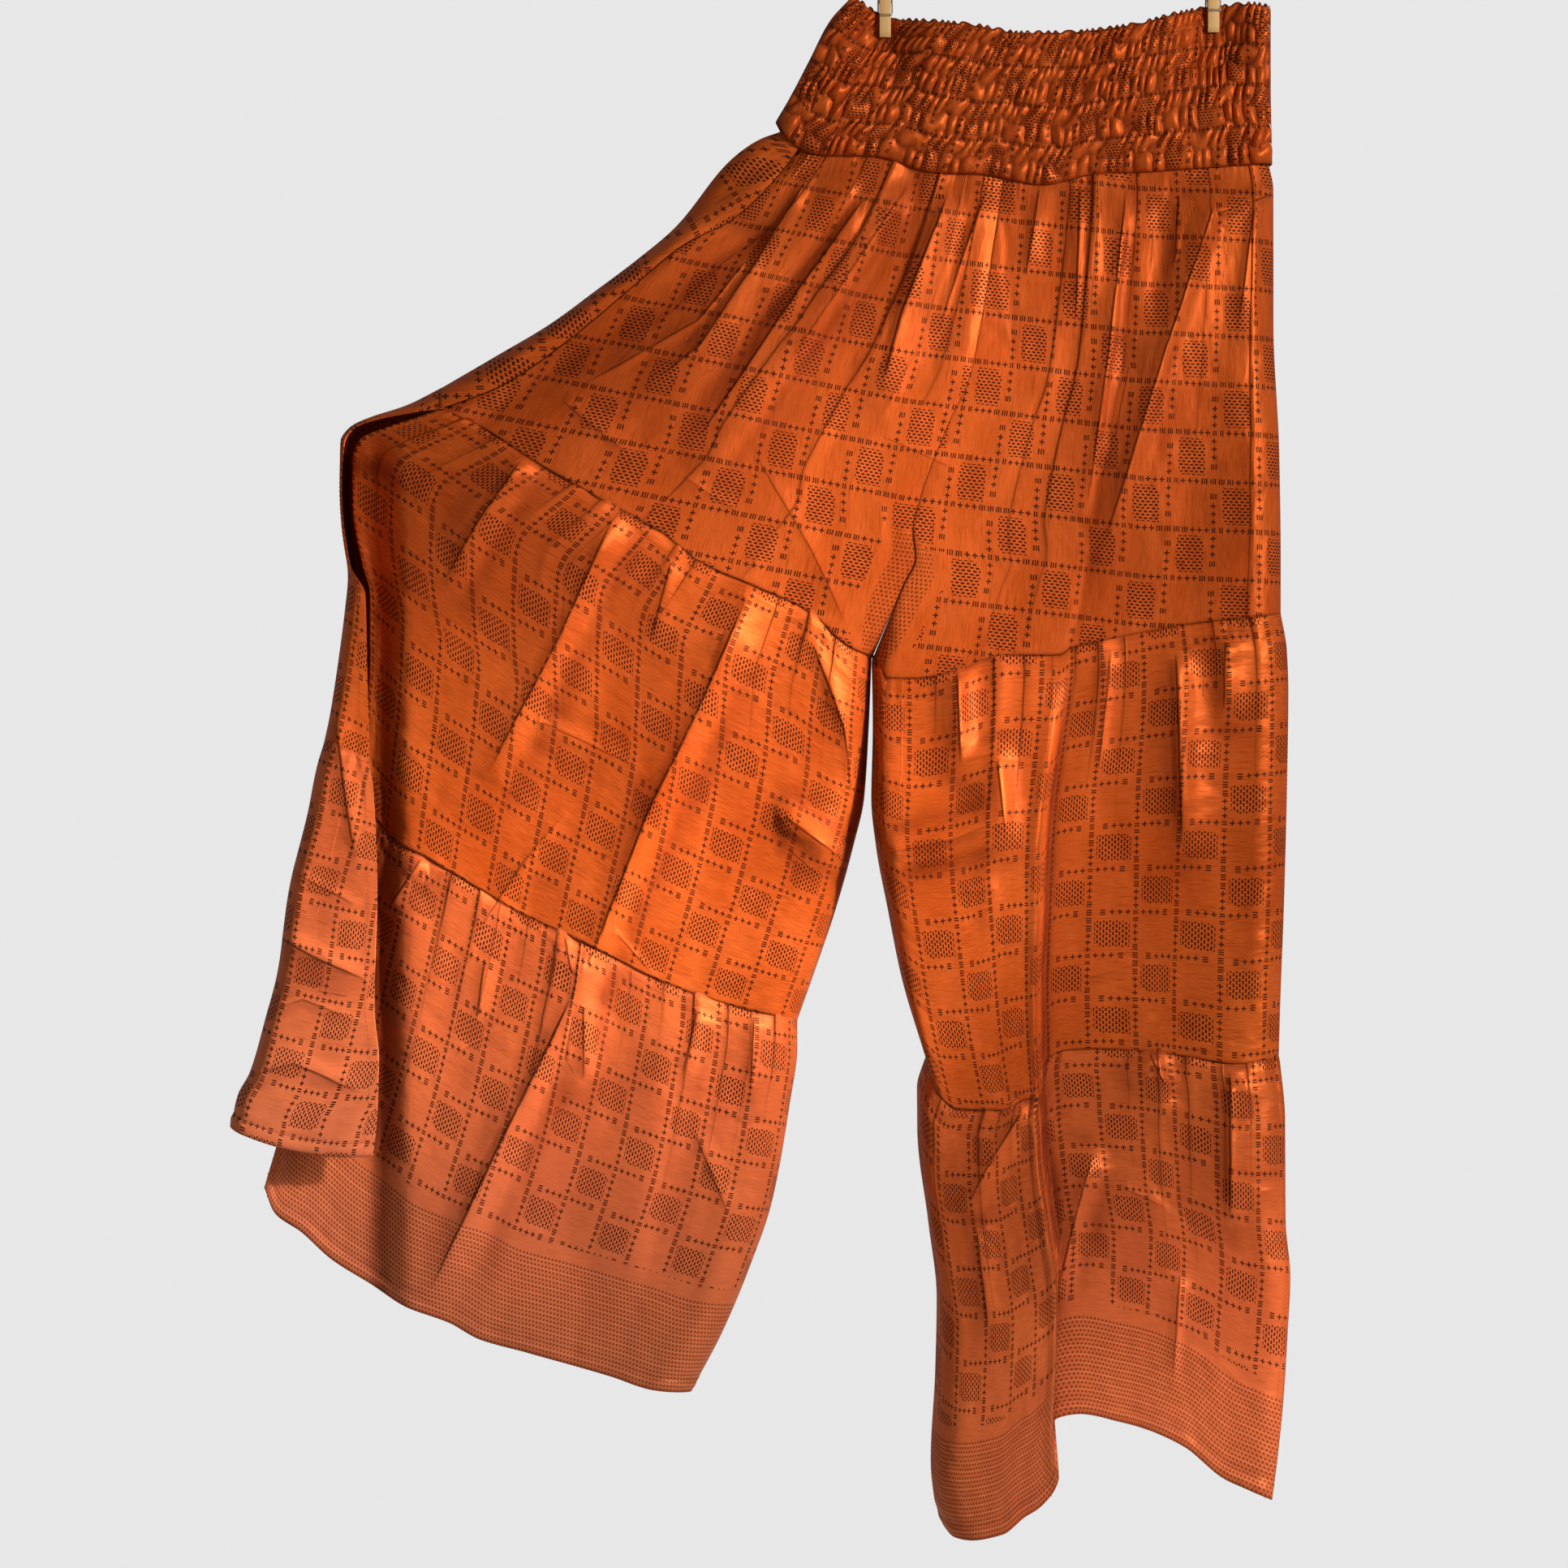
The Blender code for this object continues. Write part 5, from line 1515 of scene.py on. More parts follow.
def check_print(looks, u, v, cell):
    two = 2 * cell
    inside = looks.inside
    # rules that run along u
    line = looks.whole(v / cell + 0.5)
    off = abs(v - line * cell)
    from_triples = abs((u - (line + 0.5) * cell + cell + TRIPLES_FROM) % two - cell)
    triple_here = inside(from_triples, TRIPLES_HALF, SHARP)
    pair_here = 1.0 - inside(from_triples, TRIPLES_HALF + PLUS_COUNT * PLUS_PITCH, SHARP)
    plus_here = 1.0 - (triple_here | pair_here)
    in_triple = from_triples % TRIPLE_PITCH - TRIPLE_PITCH / 2
    local = abs((from_triples - TRIPLES_HALF) % PLUS_PITCH - PLUS_PITCH / 2)
    pair = inside(abs(local - STROKE_PITCH / 2), STROKE, SOFT) & pair_here
    strokes = (triple_mark(looks, in_triple) & triple_here) | pair
    marks = (strokes & inside(off, STROKE_REACH, SOFT)) | (cross_mark(looks, local, off) & plus_here)
    # rules that run along v
    post = looks.whole(u / cell + 0.5)
    off = u - post * cell
    along = (v - (post + 0.5) * cell) % two
    turn = looks.whole(along / SIGN_PITCH + 0.5) % SIGNS
    first, second = (looks.between(turn, *turns) for turns in PLUS_TURNS)
    crosses = cross_mark(looks, abs(off), looks.wrapped(along, SIGN_PITCH)) & (first | second)
    from_middle = abs(along - GROUP_MIDDLE * cell)
    group = inside(abs(from_middle - GROUP_SPREAD * SIGN_PITCH), STROKE_REACH, SOFT)
    marks = marks | crosses | (triple_mark(looks, off) & group)
    # dashes inside every other square
    column = looks.whole(u / cell)
    row = looks.whole(v / cell)
    dashed = inside((column + row) % 2.0, 0.5, SHARP)
    x = u - (column + 0.5) * cell
    y = v - (row + 0.5) * cell
    dash_row = looks.whole(y / DASH_ROW)
    shifted = x + (dash_row % 2.0) * (DASH_PITCH / 2)
    off = abs(y - (dash_row + 0.5) * DASH_ROW)
    dash = box_mark(looks, looks.wrapped(shifted, DASH_PITCH) + off * DASH_POINT, off, *DASH_HALF)
    slanted = abs(x * BLOCK_SLANT[0] - y * BLOCK_SLANT[1])
    block = box_mark(looks, abs(x), abs(y), *BLOCK_HALF) & inside(slanted, BLOCK_CORNER, SOFT)
    return marks | (dash & block & dashed)


def border_print(looks, u, v):
    """Rows of tiny crosses, as a mask, and the pale lines between the rows."""
    row = looks.whole(v / BORDER_PITCH[1])
    across = looks.wrapped(u + (row % 2.0) * (BORDER_PITCH[0] / 2), BORDER_PITCH[0])
    up = abs(v - (row + 0.5) * BORDER_PITCH[1])
    pale = looks.inside(looks.wrapped(v, 2 * BORDER_PITCH[1]), PALE_LINE, SOFT)
    return looks.inside(across + up, BORDER_MARK, SOFT), pale


def print_looks(looks, cut, from_line, turned_print):
    """Where the print and the border's pale lines lie, as masks."""
    u, v, _ = looks.parts(cut)
    u = u / MM
    v = v / MM
    reach = BORDER_HEIGHT if turned_print else CENTRE_BORDER_HALF
    crosses, pale = border_print(looks, *((v, from_line) if turned_print else (from_line, v)))
    border = looks.inside(from_line, reach, BORDER_SOFT)
    clear = 1.0 - looks.inside(from_line, reach + BORDER_CLEAR, BORDER_SOFT)
    u, v = (way + (looks.noise(cut, *wave) - 0.5) * WOBBLE for way, wave in zip((u, v), PRINT_WAVES))
    checks = check_print(looks, u, v, bpy.context.scene.pants_print.square / MM)
    return (checks & clear) | (crosses * border * CROSS_INK), pale * border * PALE_SHARES[turned_print]


def fold_looks(looks, cut):
    """Where creases and pleats are painted dark as shade, and the height of the steps that they make."""
    folds = looks.node("ShaderNodeAttribute", {"attribute_name": "folds"}, {}, 1)
    lit, sharp, phase = looks.parts(folds)
    pleat = looks.node("ShaderNodeAttribute", {"attribute_name": "pleat"}, {}, 2)
    wavy = (looks.noise(cut, *CREASE_WAVES) - 0.5) * CREASE_WAVE
    lit = lit + wavy
    phase = phase + wavy * PLEAT_WAVE
    in_pleat = phase - looks.whole(phase)
    patchy = PATCH_LEAST + looks.rise(looks.noise(cut, *PATCHES), *PATCH_RUN) * (1.0 - PATCH_LEAST)
    # Painted shade: thin dark lines along creases and pleats, and painted shadows on their shaded sides
    line = (1.0 - looks.rise(abs(lit), *CREASE_SHADE_LINE)) * sharp * patchy
    pleat_shade_line = (1.0 - looks.rise(looks.wrapped(phase, 1.0), *PLEAT_SHADE_LINE)) * pleat * patchy
    shadow = (1.0 - looks.rise(abs(lit), 0.0, SHADOW_REACH)) * (1.0 - looks.rise(lit, *SHADOW_SIDE)) * sharp
    parts = (line, pleat_shade_line, shadow, looks.rise(in_pleat, *PLEAT_SHADOW) * pleat)
    line, pleat_shade_line, shadow, pleat_shadow = (part * share for part, share in zip(parts, PAINTED_SHADE_SHARES))
    crease_step = looks.rise(lit, *CREASE_STEP) * (1.0 - looks.rise(lit, CREASE_STEP[1], LIT_REACH)) * sharp
    pleat_step = looks.rise(in_pleat, *PLEAT_STEP) * (1.0 - in_pleat) * pleat
    return line | pleat_shade_line | shadow | pleat_shadow, crease_step + pleat_step * PLEAT_STEP_SHARE


def cloth_bumps(looks, cut, relief, steps):
    """The threads, the small facets of crumpled satin and the steps of its folds, as one normal."""
    bend = looks.noise(cut, FACET_NOISE, output=1)
    bent_cut = looks.node(
        "ShaderNodeMix", {"data_type": "VECTOR", "clamp_factor": False}, {0: FACET_BEND, 4: cut, 5: bend}, 1,
    )
    facets = looks.node(
        "ShaderNodeTexVoronoi", {"feature": "DISTANCE_TO_EDGE", "voronoi_dimensions": "2D"},
        {"Vector": looks.stretched(bent_cut, FACET_SCALE), "Scale": 1.0},
    )
    crinkle = looks.noise(cut, *CRINKLES) + looks.rise(facets, *FACET_EDGE) * FACET_SHARE
    normal = looks.bump(crinkle, *CRINKLE_BUMP, looks.bump(relief, *FINE_BUMP))
    return looks.bump(steps, *STEP_BUMP, normal)


def opaque(colour, share=1.0):
    """A colour with its alpha, darkened to a share."""
    return (*(share * value for value in colour), 1.0)


def cloth_material(name, turned_print):
    """Light satin with slubs, its printed check and its border along the hem, with painted shade in its folds
    and painted light towards the hem.
    """
    settings = bpy.context.scene.pants_print
    looks = Looks(name)
    cut = looks.node("ShaderNodeUVMap", {"uv_map": "cut"})
    marks = looks.node("ShaderNodeAttribute", {"attribute_name": "marks"}, {}, 1)
    # The marks hold the distance to the border's line, the painted shade and the painted light at the hem
    from_line, painted_shade, lit_hem = looks.parts(marks)
    deep, steps = fold_looks(looks, cut)
    # The painted shade of creases and pleats joins the painted shade of the hollows
    painted_shade = painted_shade | deep
    printed, pale = print_looks(looks, cut, from_line, turned_print)
    worn = looks.noise(cut, *WEAR)
    ink = printed * (settings.ink_strength * (WORN_INK[0] + worn * WORN_INK[1]))
    threads = looks.noise(cut, *THREADS)
    cross_threads = looks.noise(cut, *CROSS_THREADS)
    tone = TONE
    fields = (threads, cross_threads, looks.noise(cut, *BROAD), looks.noise(cut, *STREAKS[turned_print]))
    for field, share in zip(fields, TONE_SHARES):
        tone = tone + (field - 0.5) * share
    tone = tone - looks.rise(looks.noise(cut, *SLUBS), *SLUB_RUN) * SLUB_TONE
    colour = looks.mixed(tone, opaque(settings.cloth_dark), opaque(settings.cloth_light))
    # Painted light at the hem, the border's pale print lines, the ink and the painted shade, laid over the
    # cloth in turn
    layers = (
        (lit_hem * LIT_HEM_SHARE, settings.cloth_pale),
        (pale, settings.pale_line),
        (ink, settings.ink),
        (painted_shade * settings.painted_shade_strength, settings.painted_shade),
    )
    for share, layer in layers:
        colour = looks.mixed(share, colour, opaque(layer))
    rough = ROUGH[0] + (threads - 0.5) * ROUGH[1] + ink * ROUGH[2] + painted_shade * ROUGH[3]
    relief = threads * RELIEF[0] + cross_threads * RELIEF[1] + worn * RELIEF[2]
    normal = cloth_bumps(looks, cut, relief, steps)
    looks.surface({"Base Color": colour, "Roughness": rough, "Normal": normal, **SATIN})
    return looks.material


def mottled_material(name, noise, dark, light, rough, metallic=0.0):
    """A material that wavers softly between two colours, rougher where it is lighter."""
    looks = Looks(name)
    place = looks.node("ShaderNodeTexCoord", {}, {}, 3)
    mottle = looks.noise(place, *noise)
    colour = looks.mixed(mottle, dark, light)
    looks.surface({"Base Color": colour, "Roughness": rough[0] + mottle * rough[1], "Metallic": metallic})
    return looks.material


def wood_material(name):
    """Pale, straight-grained wood with a plain sawn finish."""
    settings = bpy.context.scene.pants_pegs
    looks = Looks(name)
    place = looks.node("ShaderNodeTexCoord", {}, {}, 3)
    grain = looks.noise(place, *WOOD_GRAIN)
    tone = grain * WOOD_SHARES[0] + looks.noise(place, *WOOD_RINGS) * WOOD_SHARES[1]
    colour = looks.mixed(tone, opaque(settings.wood_dark), opaque(settings.wood_light))
    rough = WOOD_ROUGH[0] + grain * WOOD_ROUGH[1]
    looks.surface({"Base Color": colour, "Roughness": rough, "Normal": looks.bump(grain, *WOOD_BUMP)})
    return looks.material


def wire_material(name):
    """Drawn spring wire, a little dull."""
    wire = bpy.context.scene.pants_pegs.wire
    return mottled_material(name, WIRE_NOISE, opaque(wire, WIRE_DARK), opaque(wire), WIRE_ROUGH, 1.0)


def cloth_for(turned_print):
    """The cloth's material, made once for each way that the print is turned."""
    name = "satin with turned print" if turned_print else "satin with print"
    return made_once(name, cloth_material, turned_print)


def thread_material(name):
    """Matt sewing thread, in the cloth's own darker tone."""
    dark = bpy.context.scene.pants_print.cloth_dark
    return mottled_material(name, THREAD_NOISE, opaque(dark, THREAD_DARK), opaque(dark), THREAD_ROUGH)


def made_once(name, make, *choices):
    """A material of that name, made the first time that it is asked for."""
    return bpy.data.materials.get(name) or make(name, *choices)


def stitch_tree():
    """Geometry nodes that lay one small stitch after another along a line."""
    tree = bpy.data.node_groups.get("stitch row")
    if tree:
        return tree
    tree = bpy.data.node_groups.new("stitch row", "GeometryNodeTree")
    tree.interface.new_socket("Line", in_out="INPUT", socket_type="NodeSocketGeometry")
    for name in ("Spacing", "Length", "Width"):
        tree.interface.new_socket(name, in_out="INPUT", socket_type="NodeSocketFloat")
    tree.interface.new_socket("Thread", in_out="INPUT", socket_type="NodeSocketMaterial")
    tree.interface.new_socket("Stitches", in_out="OUTPUT", socket_type="NodeSocketGeometry")

    def add(kind, links, settings=None):
        made = tree.nodes.new(kind)
        for key, value in (settings or {}).items():
            setattr(made, key, value)
        for key, value in links.items():
            if isinstance(value, bpy.types.NodeSocket):
                tree.links.new(value, made.inputs[key])
            else:
                made.inputs[key].default_value = value
        return made

    given = tree.nodes.new("NodeGroupInput").outputs
    curve = add("GeometryNodeMeshToCurve", {"Mesh": given["Line"]})
    spaced = add(
        "GeometryNodeResampleCurve", {"Curve": curve.outputs[0], "Length": given["Spacing"]},
        {"mode": "LENGTH"},
    )
    tangent = add("GeometryNodeInputTangent", {})
    along = add("FunctionNodeAlignRotationToVector", {"Vector": tangent.outputs[0]}, {"axis": "X"})
    bead = add("GeometryNodeMeshIcoSphere", {"Radius": 0.5, "Subdivisions": 1})
    size = add("ShaderNodeCombineXYZ", {"X": given["Length"], "Y": given["Width"], "Z": given["Width"]})
    laid = add(
        "GeometryNodeInstanceOnPoints",
        {
            "Points": spaced.outputs[0],
            "Instance": bead.outputs[0],
            "Rotation": along.outputs[0],
            "Scale": size.outputs[0],
        },
    )
    real = add("GeometryNodeRealizeInstances", {"Geometry": laid.outputs[0]})
    thread = add("GeometryNodeSetMaterial", {"Geometry": real.outputs[0], "Material": given["Thread"]})
    end = tree.nodes.new("NodeGroupOutput")
    tree.links.new(thread.outputs[0], end.inputs[0])
    return tree


def evaluated(item):
    """What an object's modifiers and curves make, as a plain mesh."""
    graph = bpy.context.evaluated_depsgraph_get()
    graph.update()
    return bpy.data.meshes.new_from_object(item.evaluated_get(graph))


def keep_result(item):
    """Gives an object the plain mesh that its modifiers make."""
    made = evaluated(item)
    item.modifiers.clear()
    item.data = made
    made.name = item.name
    made.shade_smooth()


def make_stitches(name, lines):
    """Stitches along lines of points on the outside of a piece."""
    settings = bpy.context.scene.pants_stitches
    mesh = bpy.data.meshes.new(name)
    points = np.concatenate(lines) * MM
    edges = []
    start = 0
    for line in lines:
        edges += [(start + step, start + step + 1) for step in range(len(line) - 1)]
        start += len(line)
    mesh.from_pydata(points.tolist(), edges, [])
    item = placed(name, mesh)
    modifier = item.modifiers.new("Stitch row", "NODES")
    modifier.node_group = stitch_tree()
    sockets = {entry.name: entry.identifier for entry in modifier.node_group.interface.items_tree}
    modifier[sockets["Spacing"]] = settings.spacing
    modifier[sockets["Length"]] = settings.length
    modifier[sockets["Width"]] = settings.width
    modifier[sockets["Thread"]] = made_once("sewing thread", thread_material)
    keep_result(item)
    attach(item, BODY)


# Side view of one peg leg. Columns: out from the inner face, up from the tip
PEG_PROFILE = (
    (0.7, 0.0), (0.0, 2.2), (0.0, 16.6), (0.5, 18.0), (0.5, 28.0), (2.4, 35.0), (4.2, 35.0),
    (3.5, 15.7), (2.7, 15.1), (2.7, 13.9), (3.5, 13.3), (3.3, 3.0), (1.8, 0.0),
)
LEG_BEVEL = 0.35
BEVEL_SEGMENTS = 2
BEVEL_FROM = math.radians(20)
SHARP_FROM = math.radians(35)
COIL_HEIGHT = 25.5
COIL_RADIUS = 1.9
COIL_TURNS = 7
NOTCH_HEIGHT = 14.5
NOTCH_OUT = 7.1
ARM_OUT = 4.6
HOOK_END = 3.2
WIRE_RADIUS = 0.5
WIRE_ROUNDNESS = 2
BEND = 1.0
BEND_STEPS = 6
TURN_STEPS = 22


def make_leg(name, centre, tip, side):
    """One wooden leg of a peg, with eased edges."""
    tool = bmesh.new()
    ends = []
    for x in (centre - PEG_WIDTH / 2, centre + PEG_WIDTH / 2):
        points = [(x, side * (PEG_INNER_FACE + out), tip + up) for out, up in PEG_PROFILE]
        ends.append([tool.verts.new([value * MM for value in point]) for point in points])
        tool.faces.new(ends[-1])
    for index in range(len(PEG_PROFILE)):
        after = (index + 1) % len(PEG_PROFILE)
        tool.faces.new((ends[0][index], ends[1][index], ends[1][after], ends[0][after]))
    bmesh.ops.recalc_face_normals(tool, faces=tool.faces)
    mesh = bpy.data.meshes.new(name)
    tool.to_mesh(mesh)
    tool.free()
    item = placed(name, mesh)
    bevel = item.modifiers.new("Eased edges", "BEVEL")
    bevel.width = LEG_BEVEL * MM
    bevel.segments = BEVEL_SEGMENTS
    bevel.angle_limit = BEVEL_FROM
    keep_result(item)
    item.data.set_sharp_from_angle(angle=SHARP_FROM)
    item.data.materials.append(made_once("peg wood", wood_material))
    return item


def bent(start, corner, end):
    """Points of a wire that bends round a corner."""
    first = corner + (start - corner).normalized() * BEND
    last = corner + (end - corner).normalized() * BEND
    shares = [step / BEND_STEPS for step in range(BEND_STEPS + 1)]
    return [first * (1 - s) ** 2 + corner * 2 * s * (1 - s) + last * s * s for s in shares]


def make_spring(name, centre, tip):
    """The wire spring of a peg: a coil between the legs and an arm that hooks over each."""
    meet = math.atan2(NOTCH_OUT, COIL_HEIGHT - NOTCH_HEIGHT)
    sweep = math.tau * COIL_TURNS + math.pi - 2 * meet
    steps = TURN_STEPS * COIL_TURNS
    coil = []
    for step in range(steps + 1):
        share = step / steps
        angle = math.pi - meet - sweep * share
        y = COIL_RADIUS * math.cos(angle)
        z = COIL_HEIGHT + COIL_RADIUS * math.sin(angle)
        coil.append(Vector((ARM_OUT * (1 - 2 * share), y, z)))
    front = Vector((ARM_OUT, -NOTCH_OUT, NOTCH_HEIGHT))
    back = Vector((-ARM_OUT, NOTCH_OUT, NOTCH_HEIGHT))
    front_end = Vector((-HOOK_END, -NOTCH_OUT, NOTCH_HEIGHT))
    back_end = Vector((HOOK_END, NOTCH_OUT, NOTCH_HEIGHT))
    route = [front_end, *bent(front_end, front, coil[0]), *coil, *bent(coil[-1], back, back_end), back_end]
    curve = bpy.data.curves.new(name, "CURVE")
    curve.dimensions = "3D"
    curve.bevel_depth = WIRE_RADIUS * MM
    curve.bevel_resolution = WIRE_ROUNDNESS
    curve.use_fill_caps = True
    spline = curve.splines.new("POLY")
    spline.points.add(len(route) - 1)
    for point, place in zip(spline.points, route):
        point.co = ((centre + place.x) * MM, place.y * MM, (tip + place.z) * MM, 1.0)
    guide = placed(name, curve)
    mesh = evaluated(guide)
    bpy.data.objects.remove(guide)
    mesh.name = name
    mesh.shade_smooth()
    mesh.materials.clear()
    mesh.materials.append(made_once("peg wire", wire_material))
    return placed(name, mesh)


class PantsCloth(bpy.types.PropertyGroup):
    thickness: FloatProperty(
        name="Thickness", description="Thickness of the cloth", default=0.0005, unit="LENGTH",
    )
    gather_pitch: FloatProperty(
        name="Gather pitch", description="Cloth taken up by one gather", default=0.023, unit="LENGTH",
    )
    gather_height: FloatProperty(
        name="Gather height", description="Height of a gather under its seam", default=0.0023, unit="LENGTH",
    )
    gather_reach: FloatProperty(
        name="Gather reach", description="How far a gather runs down", default=0.046, unit="LENGTH",
    )
    smock_pitch: FloatProperty(
        name="Smocking pitch", description="Distance between the puffs of the waist", default=0.0060,
        unit="LENGTH",
    )
    smock_height: FloatProperty(
        name="Smocking height", description="How far a puff of the waist stands out", default=0.0054,
        unit="LENGTH",
    )
    smock_fullness: FloatProperty(
        name="Smocking fullness", description="Width of the waist's cloth over its shirred width",
        default=1.9,
    )


class PantsPrint(bpy.types.PropertyGroup):
    square: FloatProperty(
        name="Check", description="Side of one square of the printed check", default=0.0325, unit="LENGTH",
    )
    ink_strength: FloatProperty(
        name="Ink strength", description="How strongly the print covers the cloth", default=1.0,
        subtype="FACTOR",
    )
    cloth_light: FloatVectorProperty(
        name="Cloth, light", description="Colour of the lighter threads", default=(0.66, 0.116, 0.018),
        subtype="COLOR",
    )
    cloth_dark: FloatVectorProperty(
        name="Cloth, dark", description="Colour of the darker threads", default=(0.4, 0.05, 0.005),
        subtype="COLOR",
    )
    # Painted light: the colour that the lowest tier is painted towards its hem
    cloth_pale: FloatVectorProperty(
        name="Cloth, pale", description="Colour that the cloth fades to at its hems",
        default=(0.68, 0.20, 0.09),
        subtype="COLOR",
    )
    # Painted shade: the colour painted into the cloth deep in its folds, creases, pleats and seams, and how
    # strongly
    painted_shade: FloatVectorProperty(
        name="Hollows", description="Colour of the cloth deep in its folds", default=(0.12, 0.008, 0.002),
        subtype="COLOR",
    )
    painted_shade_strength: FloatProperty(
        name="Hollow strength", description="How dark the hollows of the folds are", default=0.78,
        subtype="FACTOR",
    )
    ink: FloatVectorProperty(
        name="Ink", description="Colour of the print", default=(0.05, 0.007, 0.003), subtype="COLOR",
    )
    pale_line: FloatVectorProperty(
        name="Pale line", description="Colour of the thin lines in the border", default=(0.8, 0.35, 0.2),
        subtype="COLOR",
    )


class PantsStitches(bpy.types.PropertyGroup):
    spacing: FloatProperty(
        name="Spacing", description="Distance from one stitch to the next", default=0.003, unit="LENGTH",
    )
    length: FloatProperty(
        name="Length", description="Length of a stitch", default=0.0022, unit="LENGTH",
    )
    width: FloatProperty(
        name="Width", description="Width of the thread", default=0.0005, unit="LENGTH",
    )


class PantsPegs(bpy.types.PropertyGroup):
    wood_light: FloatVectorProperty(
        name="Wood, light", description="Colour of the wood between its grain", default=(0.83, 0.50, 0.20),
        subtype="COLOR",
    )
    wood_dark: FloatVectorProperty(
        name="Wood, dark", description="Colour of the grain", default=(0.58, 0.30, 0.09),
        subtype="COLOR",
    )
    wire: FloatVectorProperty(
        name="Wire", description="Colour of the spring wire", default=(0.62, 0.60, 0.56),
        subtype="COLOR",
    )


class PantsStage(bpy.types.PropertyGroup):
    floor_height: FloatProperty(
        name="Floor height", description="Height of the floor under the pegs", default=-1.3, unit="LENGTH",
    )
    floor_radius: FloatProperty(
        name="Floor radius", description="Radius of the round floor", default=1.4, unit="LENGTH",
    )
    background: FloatProperty(
        name="Background", description="Brightness of the plain background", default=0.80,
    )
    surround: FloatProperty(
        name="Surround", description="Brightness of the light from all sides", default=0.17,
    )
    key_power: FloatProperty(
        name="Key light", description="Power of the soft light from the upper right", default=101.0,
        unit="POWER",
    )
    patch_power: FloatProperty(
        name="Window light", description="Power of the narrow light on the left leg",
        default=1.2, unit="POWER",
    )
    fill_power: FloatProperty(
        name="Fill light", description="Power of the soft light from the left", default=10.0, unit="POWER",
    )
    back_power: FloatProperty(
        name="Back light", description="Power of the light behind", default=34.0, unit="POWER",
    )


class PANTS_OT_waist(bpy.types.Operator):
    """Make the front and the back half of the smocked waist"""

    bl_idname = "pants.waist"
    bl_label = "Smocked waist"

    def execute(self, context):
        for side in (FRONT, BACK):
            make_waist(side)
        return {"FINISHED"}


class PANTS_OT_hip_tier(bpy.types.Operator):
    """Make the four quarters of the hip tier"""

    bl_idname = "pants.hip_tier"
    bl_label = "Hip tier"

    def execute(self, context):
        make_tier(HIP_TIER)
        return {"FINISHED"}


class PANTS_OT_thigh_tier(bpy.types.Operator):
    """Make the front and back pieces of both legs' second tier"""

    bl_idname = "pants.thigh_tier"
    bl_label = "Thigh tier"

    def execute(self, context):
        make_tier(THIGH_TIER)
        return {"FINISHED"}


class PANTS_OT_shin_tier(bpy.types.Operator):
    """Make the front and back pieces of both legs' lowest tier"""

    bl_idname = "pants.shin_tier"
    bl_label = "Shin tier"

    def execute(self, context):
        make_tier(HEM_TIER)
        return {"FINISHED"}


class PANTS_OT_pegs(bpy.types.Operator):
    """Make the two wooden pegs with their springs"""

    bl_idname = "pants.pegs"
    bl_label = "Pegs"

    def execute(self, context):
        for peg, centre, tip in zip(("left", "right"), PEG_CENTRES, PEG_TIPS):
            for side, face in FACES.items():
                leg = make_leg(f"wood_peg_{peg}_{face}", centre, tip, side)
                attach(leg, BODY)
                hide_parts(f"peg_{peg}_{face}_leg")
            spring = make_spring(f"spring_peg_{peg}", centre, tip)
            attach(spring, BODY)
            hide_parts(f"peg_{peg}_wire", f"peg_{peg}_coil")
        return {"FINISHED"}


class PANTS_OT_stage(bpy.types.Operator):
    """Set up the floor, the soft lights and the camera"""

    bl_idname = "pants.stage"
    bl_label = "Floor, lights and camera"

    def execute(self, context):
        make_floor()
        make_lights()
        make_camera()
        return {"FINISHED"}


class PANTS_PT_panel(bpy.types.Panel):
    """The pants' pieces and settings"""

    bl_idname = "PANTS_PT_panel"
    bl_label = "Tiered pants"
    bl_space_type = "VIEW_3D"
    bl_region_type = "UI"
    bl_category = "Pants"

    def draw(self, context):
        for operator in OPERATORS:
            self.layout.operator(operator.bl_idname)
        for name, group in GROUPS.items():
            settings = getattr(context.scene, name)
            for key in group.__annotations__:
                self.layout.prop(settings, key)


OPERATORS = (
    PANTS_OT_waist,
    PANTS_OT_hip_tier,
    PANTS_OT_thigh_tier,
    PANTS_OT_shin_tier,
    PANTS_OT_pegs,
    PANTS_OT_stage,
)
GROUPS = {
    "pants_cloth": PantsCloth,
    "pants_print": PantsPrint,
    "pants_stitches": PantsStitches,
    "pants_pegs": PantsPegs,
    "pants_stage": PantsStage,
}


def make_tier(tier):
    for panel in PANELS:
        if panel.tier == tier:
            make_panel(panel)


def make_floor():
    settings = bpy.context.scene.pants_stage
    tool = bmesh.new()
    bmesh.ops.create_circle(tool, cap_ends=True, segments=FLOOR_SIDES, radius=settings.floor_radius)
    bmesh.ops.translate(tool, vec=(VIEW_CENTRE[0], 0.0, settings.floor_height), verts=tool.verts)
    mesh = bpy.data.meshes.new("floor")
    tool.to_mesh(mesh)
    tool.free()
    dark, light = (opaque(tone) for tone in FLOOR_TONES)
    mesh.materials.append(mottled_material("pale floor", FLOOR_NOISE, dark, light, FLOOR_ROUGH))
    placed("floor", mesh)


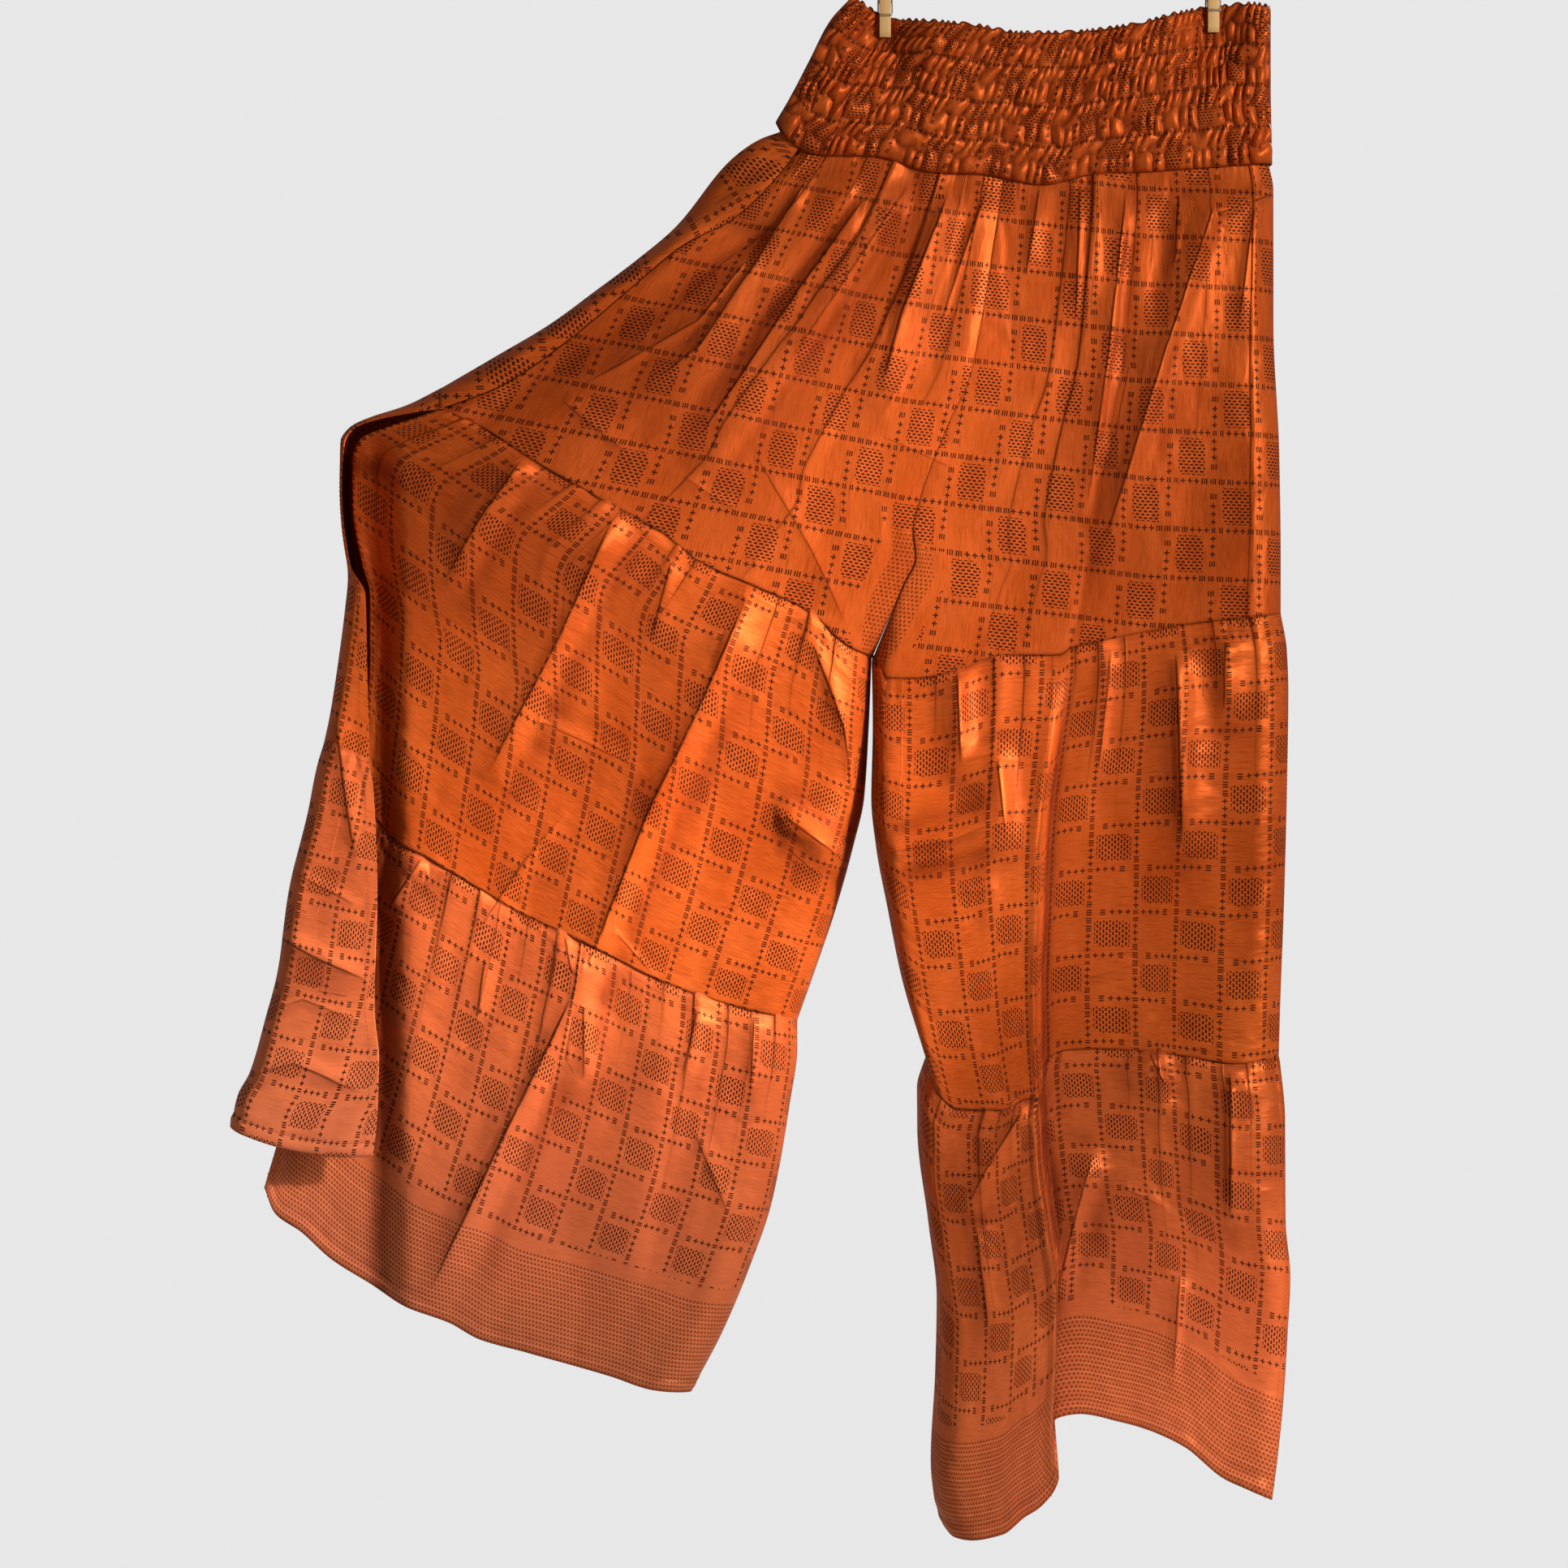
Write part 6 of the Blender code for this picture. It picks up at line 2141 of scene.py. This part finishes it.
def make_lights():
    settings = bpy.context.scene.pants_stage
    for name, power, share, place, size, spread, target in LIGHTS:
        light = bpy.data.lights.new(name, "AREA")
        light.size = size
        light.spread = math.radians(spread)
        light.energy = share * getattr(settings, power)
        item = placed(name, light)
        item.location = place
        item.rotation_euler = (Vector(target) - Vector(place)).to_track_quat("-Z", "Y").to_euler()
    world = bpy.data.worlds.new("soft surround")
    bpy.context.scene.world = world
    world.use_nodes = True
    nodes = world.node_tree.nodes
    links = world.node_tree.links
    seen = nodes["Background"]
    around = nodes.new("ShaderNodeBackground")
    mix = nodes.new("ShaderNodeMixShader")
    path = nodes.new("ShaderNodeLightPath")
    seen.inputs["Color"].default_value = (settings.background,) * 3 + (1.0,)
    around.inputs["Color"].default_value = (settings.surround,) * 3 + (1.0,)
    links.new(path.outputs["Is Camera Ray"], mix.inputs[0])
    links.new(around.outputs[0], mix.inputs[1])
    links.new(seen.outputs[0], mix.inputs[2])
    links.new(mix.outputs[0], nodes["World Output"].inputs["Surface"])


def make_camera():
    camera = bpy.data.cameras.new("camera")
    camera.sensor_width = SENSOR
    camera.lens = SENSOR * VIEW_DISTANCE / VIEW_WIDTH
    item = placed("camera", camera)
    item.location = (VIEW_CENTRE[0], -VIEW_DISTANCE, VIEW_CENTRE[2])
    item.rotation_euler = (math.pi / 2, 0.0, 0.0)
    bpy.context.scene.camera = item


def register():
    for group in GROUPS.values():
        bpy.utils.register_class(group)
    for name, group in GROUPS.items():
        setattr(bpy.types.Scene, name, PointerProperty(type=group))
    for operator in OPERATORS:
        bpy.utils.register_class(operator)
    bpy.utils.register_class(PANTS_PT_panel)


def unregister():
    bpy.utils.unregister_class(PANTS_PT_panel)
    for operator in OPERATORS:
        bpy.utils.unregister_class(operator)
    for name, group in GROUPS.items():
        delattr(bpy.types.Scene, name)
        bpy.utils.unregister_class(group)


def main():
    register()
    bpy.context.scene.view_settings.view_transform = "Standard"
    bpy.ops.pants.stage()
    bpy.ops.pants.pegs()
    bpy.ops.pants.waist()
    bpy.ops.pants.hip_tier()
    bpy.ops.pants.thigh_tier()
    bpy.ops.pants.shin_tier()


if __name__ == "__main__":
    main()
